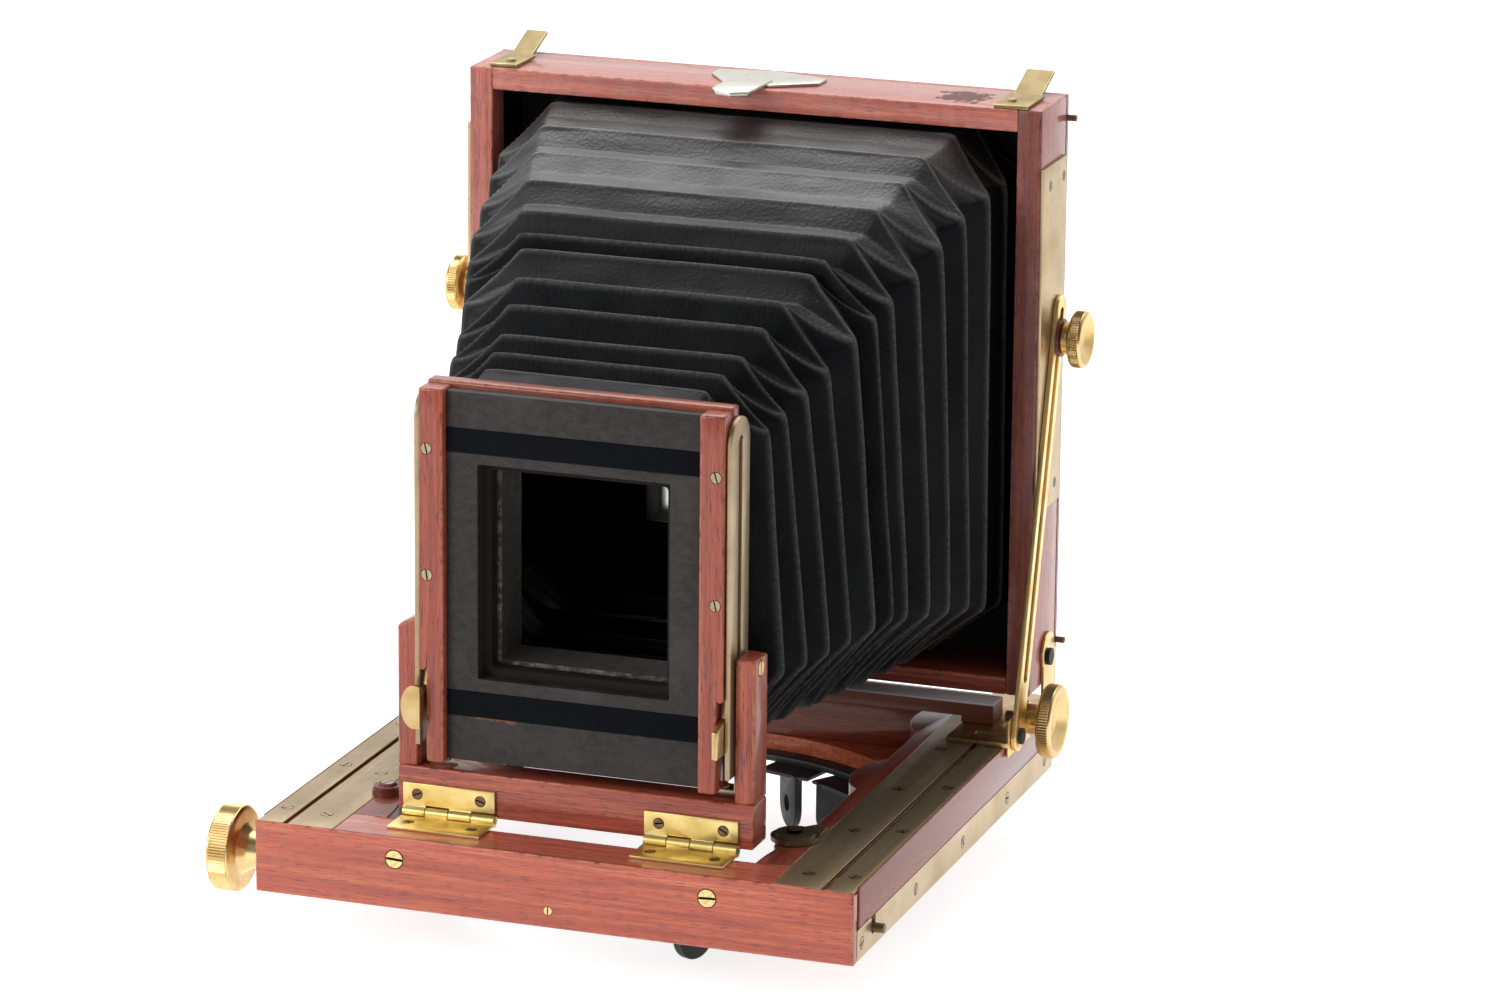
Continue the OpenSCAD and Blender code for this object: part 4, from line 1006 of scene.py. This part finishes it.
def bellows_grid():
    """The folded sheet as rows from front to back and columns round its right half: each
    point, its distance from the nearest ridge, and its place, 0 top, 1 corner, 2 side,
    3 bottom."""
    rows = []
    steps = gathered(ROWS_PER_CARD)
    rings = bellows_rings()
    for k, ((on_top, y0, p), (_, y1, q)) in enumerate(zip(rings, rings[1:])):
        a = [np.array((x, y0, z)) for x, z in [(0.0, p[0][1])] + p + [(0.0, p[3][1])]]
        b = [np.array((x, y1, z)) for x, z in [(0.0, q[0][1])] + q + [(0.0, q[3][1])]]
        here, there = (a, b) if on_top else (b, a)
        sag = CORNER_SAG if on_top else 0.0 * CORNER_SAG
        for v in list(steps) + [1.0] * (k == len(rings) - 2):
            share = v if on_top else 1 - v
            row = panel_row(a[0:2], b[0:2], v, FLAT_COLUMNS, share, 0)
            row += corner_row(here[1:3], there[1:3], share, steps, sag)
            row += panel_row(a[2:4], b[2:4], v, SIDE_COLUMNS, 1 - share, 2)
            row += corner_row(here[4:2:-1], there[4:2:-1], share, 1 - steps, 0.0 * CORNER_SAG)
            row += panel_row(a[4:6], b[4:6], v, BOTTOM_COLUMNS, share, 3)
            row.append(((1 - v) * a[5] + v * b[5], share * CARD, 3))
            rows.append(row)
    return [np.array([[entry[k] for entry in row] for row in rows]) for k in range(3)]


def smoothed(grid, spread, axis):
    """The grid with its folds rounded along an axis, by a spread counted in points."""
    reach = int(spread * 3) + 1
    weights = np.exp(-0.5 * (np.arange(-reach, reach + 1) / spread) ** 2)
    weights /= weights.sum()
    edge = "edge" if axis == 0 else "wrap"
    widths = [(reach, reach) if k == axis else (0, 0) for k in range(grid.ndim)]
    padded = np.pad(grid, widths, mode=edge)
    size = grid.shape[axis]
    return sum(w * np.take(padded, range(k, k + size), axis) for k, w in enumerate(weights))


def waves(grid, seed, length, size):
    """Slow random swells over the sheet, of a length and a height in millimetres."""
    rng = np.random.default_rng(seed)
    total = np.zeros(grid.shape[:2])
    for _ in range(14):
        heading = rng.normal(size=3)
        heading *= 2 * math.pi / (length * (0.6 + 0.8 * rng.random())) / np.linalg.norm(heading)
        total += np.sin(grid @ heading + rng.random() * 2 * math.pi)
    return total * size / math.sqrt(14)


def whole(right_half):
    """The right half joined to its mirror image on the left."""
    left_half = right_half[:, ::-1][:, 1:-1]
    if right_half.ndim == 3:
        left_half = left_half * np.array((-1.0, 1.0, 1.0))
    return np.concatenate([right_half, left_half], axis=1)


sheet, ridge_gap, place = [whole(part) for part in bellows_grid()]
sheet[..., 1] += waves(sheet, 3, 50.0, 0.55)
rounded = smoothed(smoothed(sheet, 2.2, 0), 0.9, 1)
broad = smoothed(sheet, 9.0, 0)
outward = np.cross(np.roll(broad, -1, 1) - np.roll(broad, 1, 1), np.gradient(broad, axis=0))
outward /= np.linalg.norm(outward, axis=2, keepdims=True) + 1e-9
from_middle = (broad - np.array((0.0, 0.0, 130.0))) * np.array((1.0, 0.0, 1.0))
outward *= np.sign((from_middle * outward).sum(2, keepdims=True))
on_flat = np.where(place == 0, 1.0, 0.0)
slack = np.interp(rounded[..., 1], (112.0, 140.0), (0.0, 1.0)) * on_flat
ridge = np.exp(-(ridge_gap / RIDGE_SPREAD) ** 2)
bead = ridge * (0.55 - 0.35 * slack)
leather = rounded + outward * (bead + waves(rounded, 5, 17.0, 0.20) * (1 - ridge))[..., None]
ridge *= 1.0 - 0.6 * slack
share_out = np.abs(rounded[..., 0]) / read_off(TOP_RIDGES, rounded[..., 1])[1]
gathers = on_flat * np.clip(share_out - 0.55, 0.0, 0.3) / 0.3


def leather_finish(name, seed):
    hide = Finish(name, {"Roughness": 0.5})
    grain = hide.add("TexVoronoi", {"Vector": hide.place, "Scale": 900.0},
                     feature="SMOOTH_F1").outputs["Distance"]
    crease = hide.cloud((60.0, 500.0, 240.0), seed, 4.0, 0.6)
    gather = hide.sum("MULTIPLY", hide.cloud((950.0, 110.0, 110.0), seed + 3.0, 3.0, 0.6),
                      hide.own("gathers"))
    patch = hide.cloud(45.0, seed + 1.0, 3.0, 0.6)
    scuff = hide.cloud(700.0, seed + 2.0, 4.0, 0.7)
    # The ridges are paler grey: worn leather and a painted highlight along each ridge.
    wear_and_sheen = hide.sum("MULTIPLY", hide.own("ridge"), hide.span(scuff, 0.30, 0.62, 0.35, 1.0))
    body = hide.shades(patch, (0.30, (0.0030, 0.0033, 0.0042)), (0.70, (0.0060, 0.0064, 0.0076)))
    body = hide.over(wear_and_sheen, body, (0.100, 0.100, 0.098))
    hide.colour(body)
    hide.rough(hide.span(patch, 0.3, 0.7, 0.60, 0.46))
    hide.link("Specular IOR Level", hide.own("polish"))
    hide.raise_by(grain, 0.16, 1.0)
    hide.raise_by(crease, 0.22, 0.30)
    hide.raise_by(gather, 0.30, 0.45)
    return hide.material


bellows_leather = leather_finish("bellows_leather", 43.0)
ring_ys = [y for _, y, _ in bellows_rings()]


def bellows_part(name, front, back):
    """One length of the bellows, from one ring to another. Its wall has an inner skin and is closed
    round both ends."""
    rows = slice(front * ROWS_PER_CARD, back * ROWS_PER_CARD + 1)
    outer = leather[rows]
    inner = outer - LEATHER * outward[rows]
    height, count = outer.shape[:2]
    corners = np.concatenate([outer.reshape(-1, 3), inner.reshape(-1, 3)])
    first_inner = height * count
    faces = []
    for c in range(count):
        d = (c + 1) % count
        for r in range(height - 1):
            quad = (r * count + c, (r + 1) * count + c, (r + 1) * count + d, r * count + d)
            faces.append(quad[::-1])
            faces.append(tuple(first_inner + k for k in quad))
        end = (height - 1) * count
        faces.append((d, c, first_inner + c, first_inner + d))
        faces.append((end + c, end + d, first_inner + end + d, first_inner + end + c))
    mesh = bpy.data.meshes.new(name)
    mesh.from_pydata((corners * MM + np.array((0.0, FRONT_Y, 0.0))).tolist(), [], faces)
    mesh.shade_smooth()
    upward = np.array([vert.normal.z for vert in mesh.vertices[:first_inner]]).clip(0.3, 0.9)
    polish = 0.10 + (upward - 0.3) / 0.6 * np.interp(corners[:first_inner, 1], *TOP_POLISH)
    for key, outside, inside in (
            ("ridge", ridge[rows].reshape(-1), 0.2 * ridge[rows].reshape(-1)),
            ("gathers", gathers[rows].reshape(-1), 0.2 * gathers[rows].reshape(-1)),
            ("polish", polish, np.full(first_inner, 0.1))):
        mesh.attributes.new(key, "FLOAT", "POINT").data.foreach_set(
            "value", np.concatenate([outside, inside]).astype(np.float32))
    piece = placed(name, mesh, bellows_leather)
    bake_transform(piece)
    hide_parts("bellows")


bellows_part("bellows_front", 0, 3)
bellows_part("bellows_collar", 3, 5)
bellows_part("bellows_fore", 5, 8)
bellows_part("bellows_middle", 8, 15)
bellows_part("bellows_hind", 15, 20)
bellows_part("bellows_rear", 20, 26)
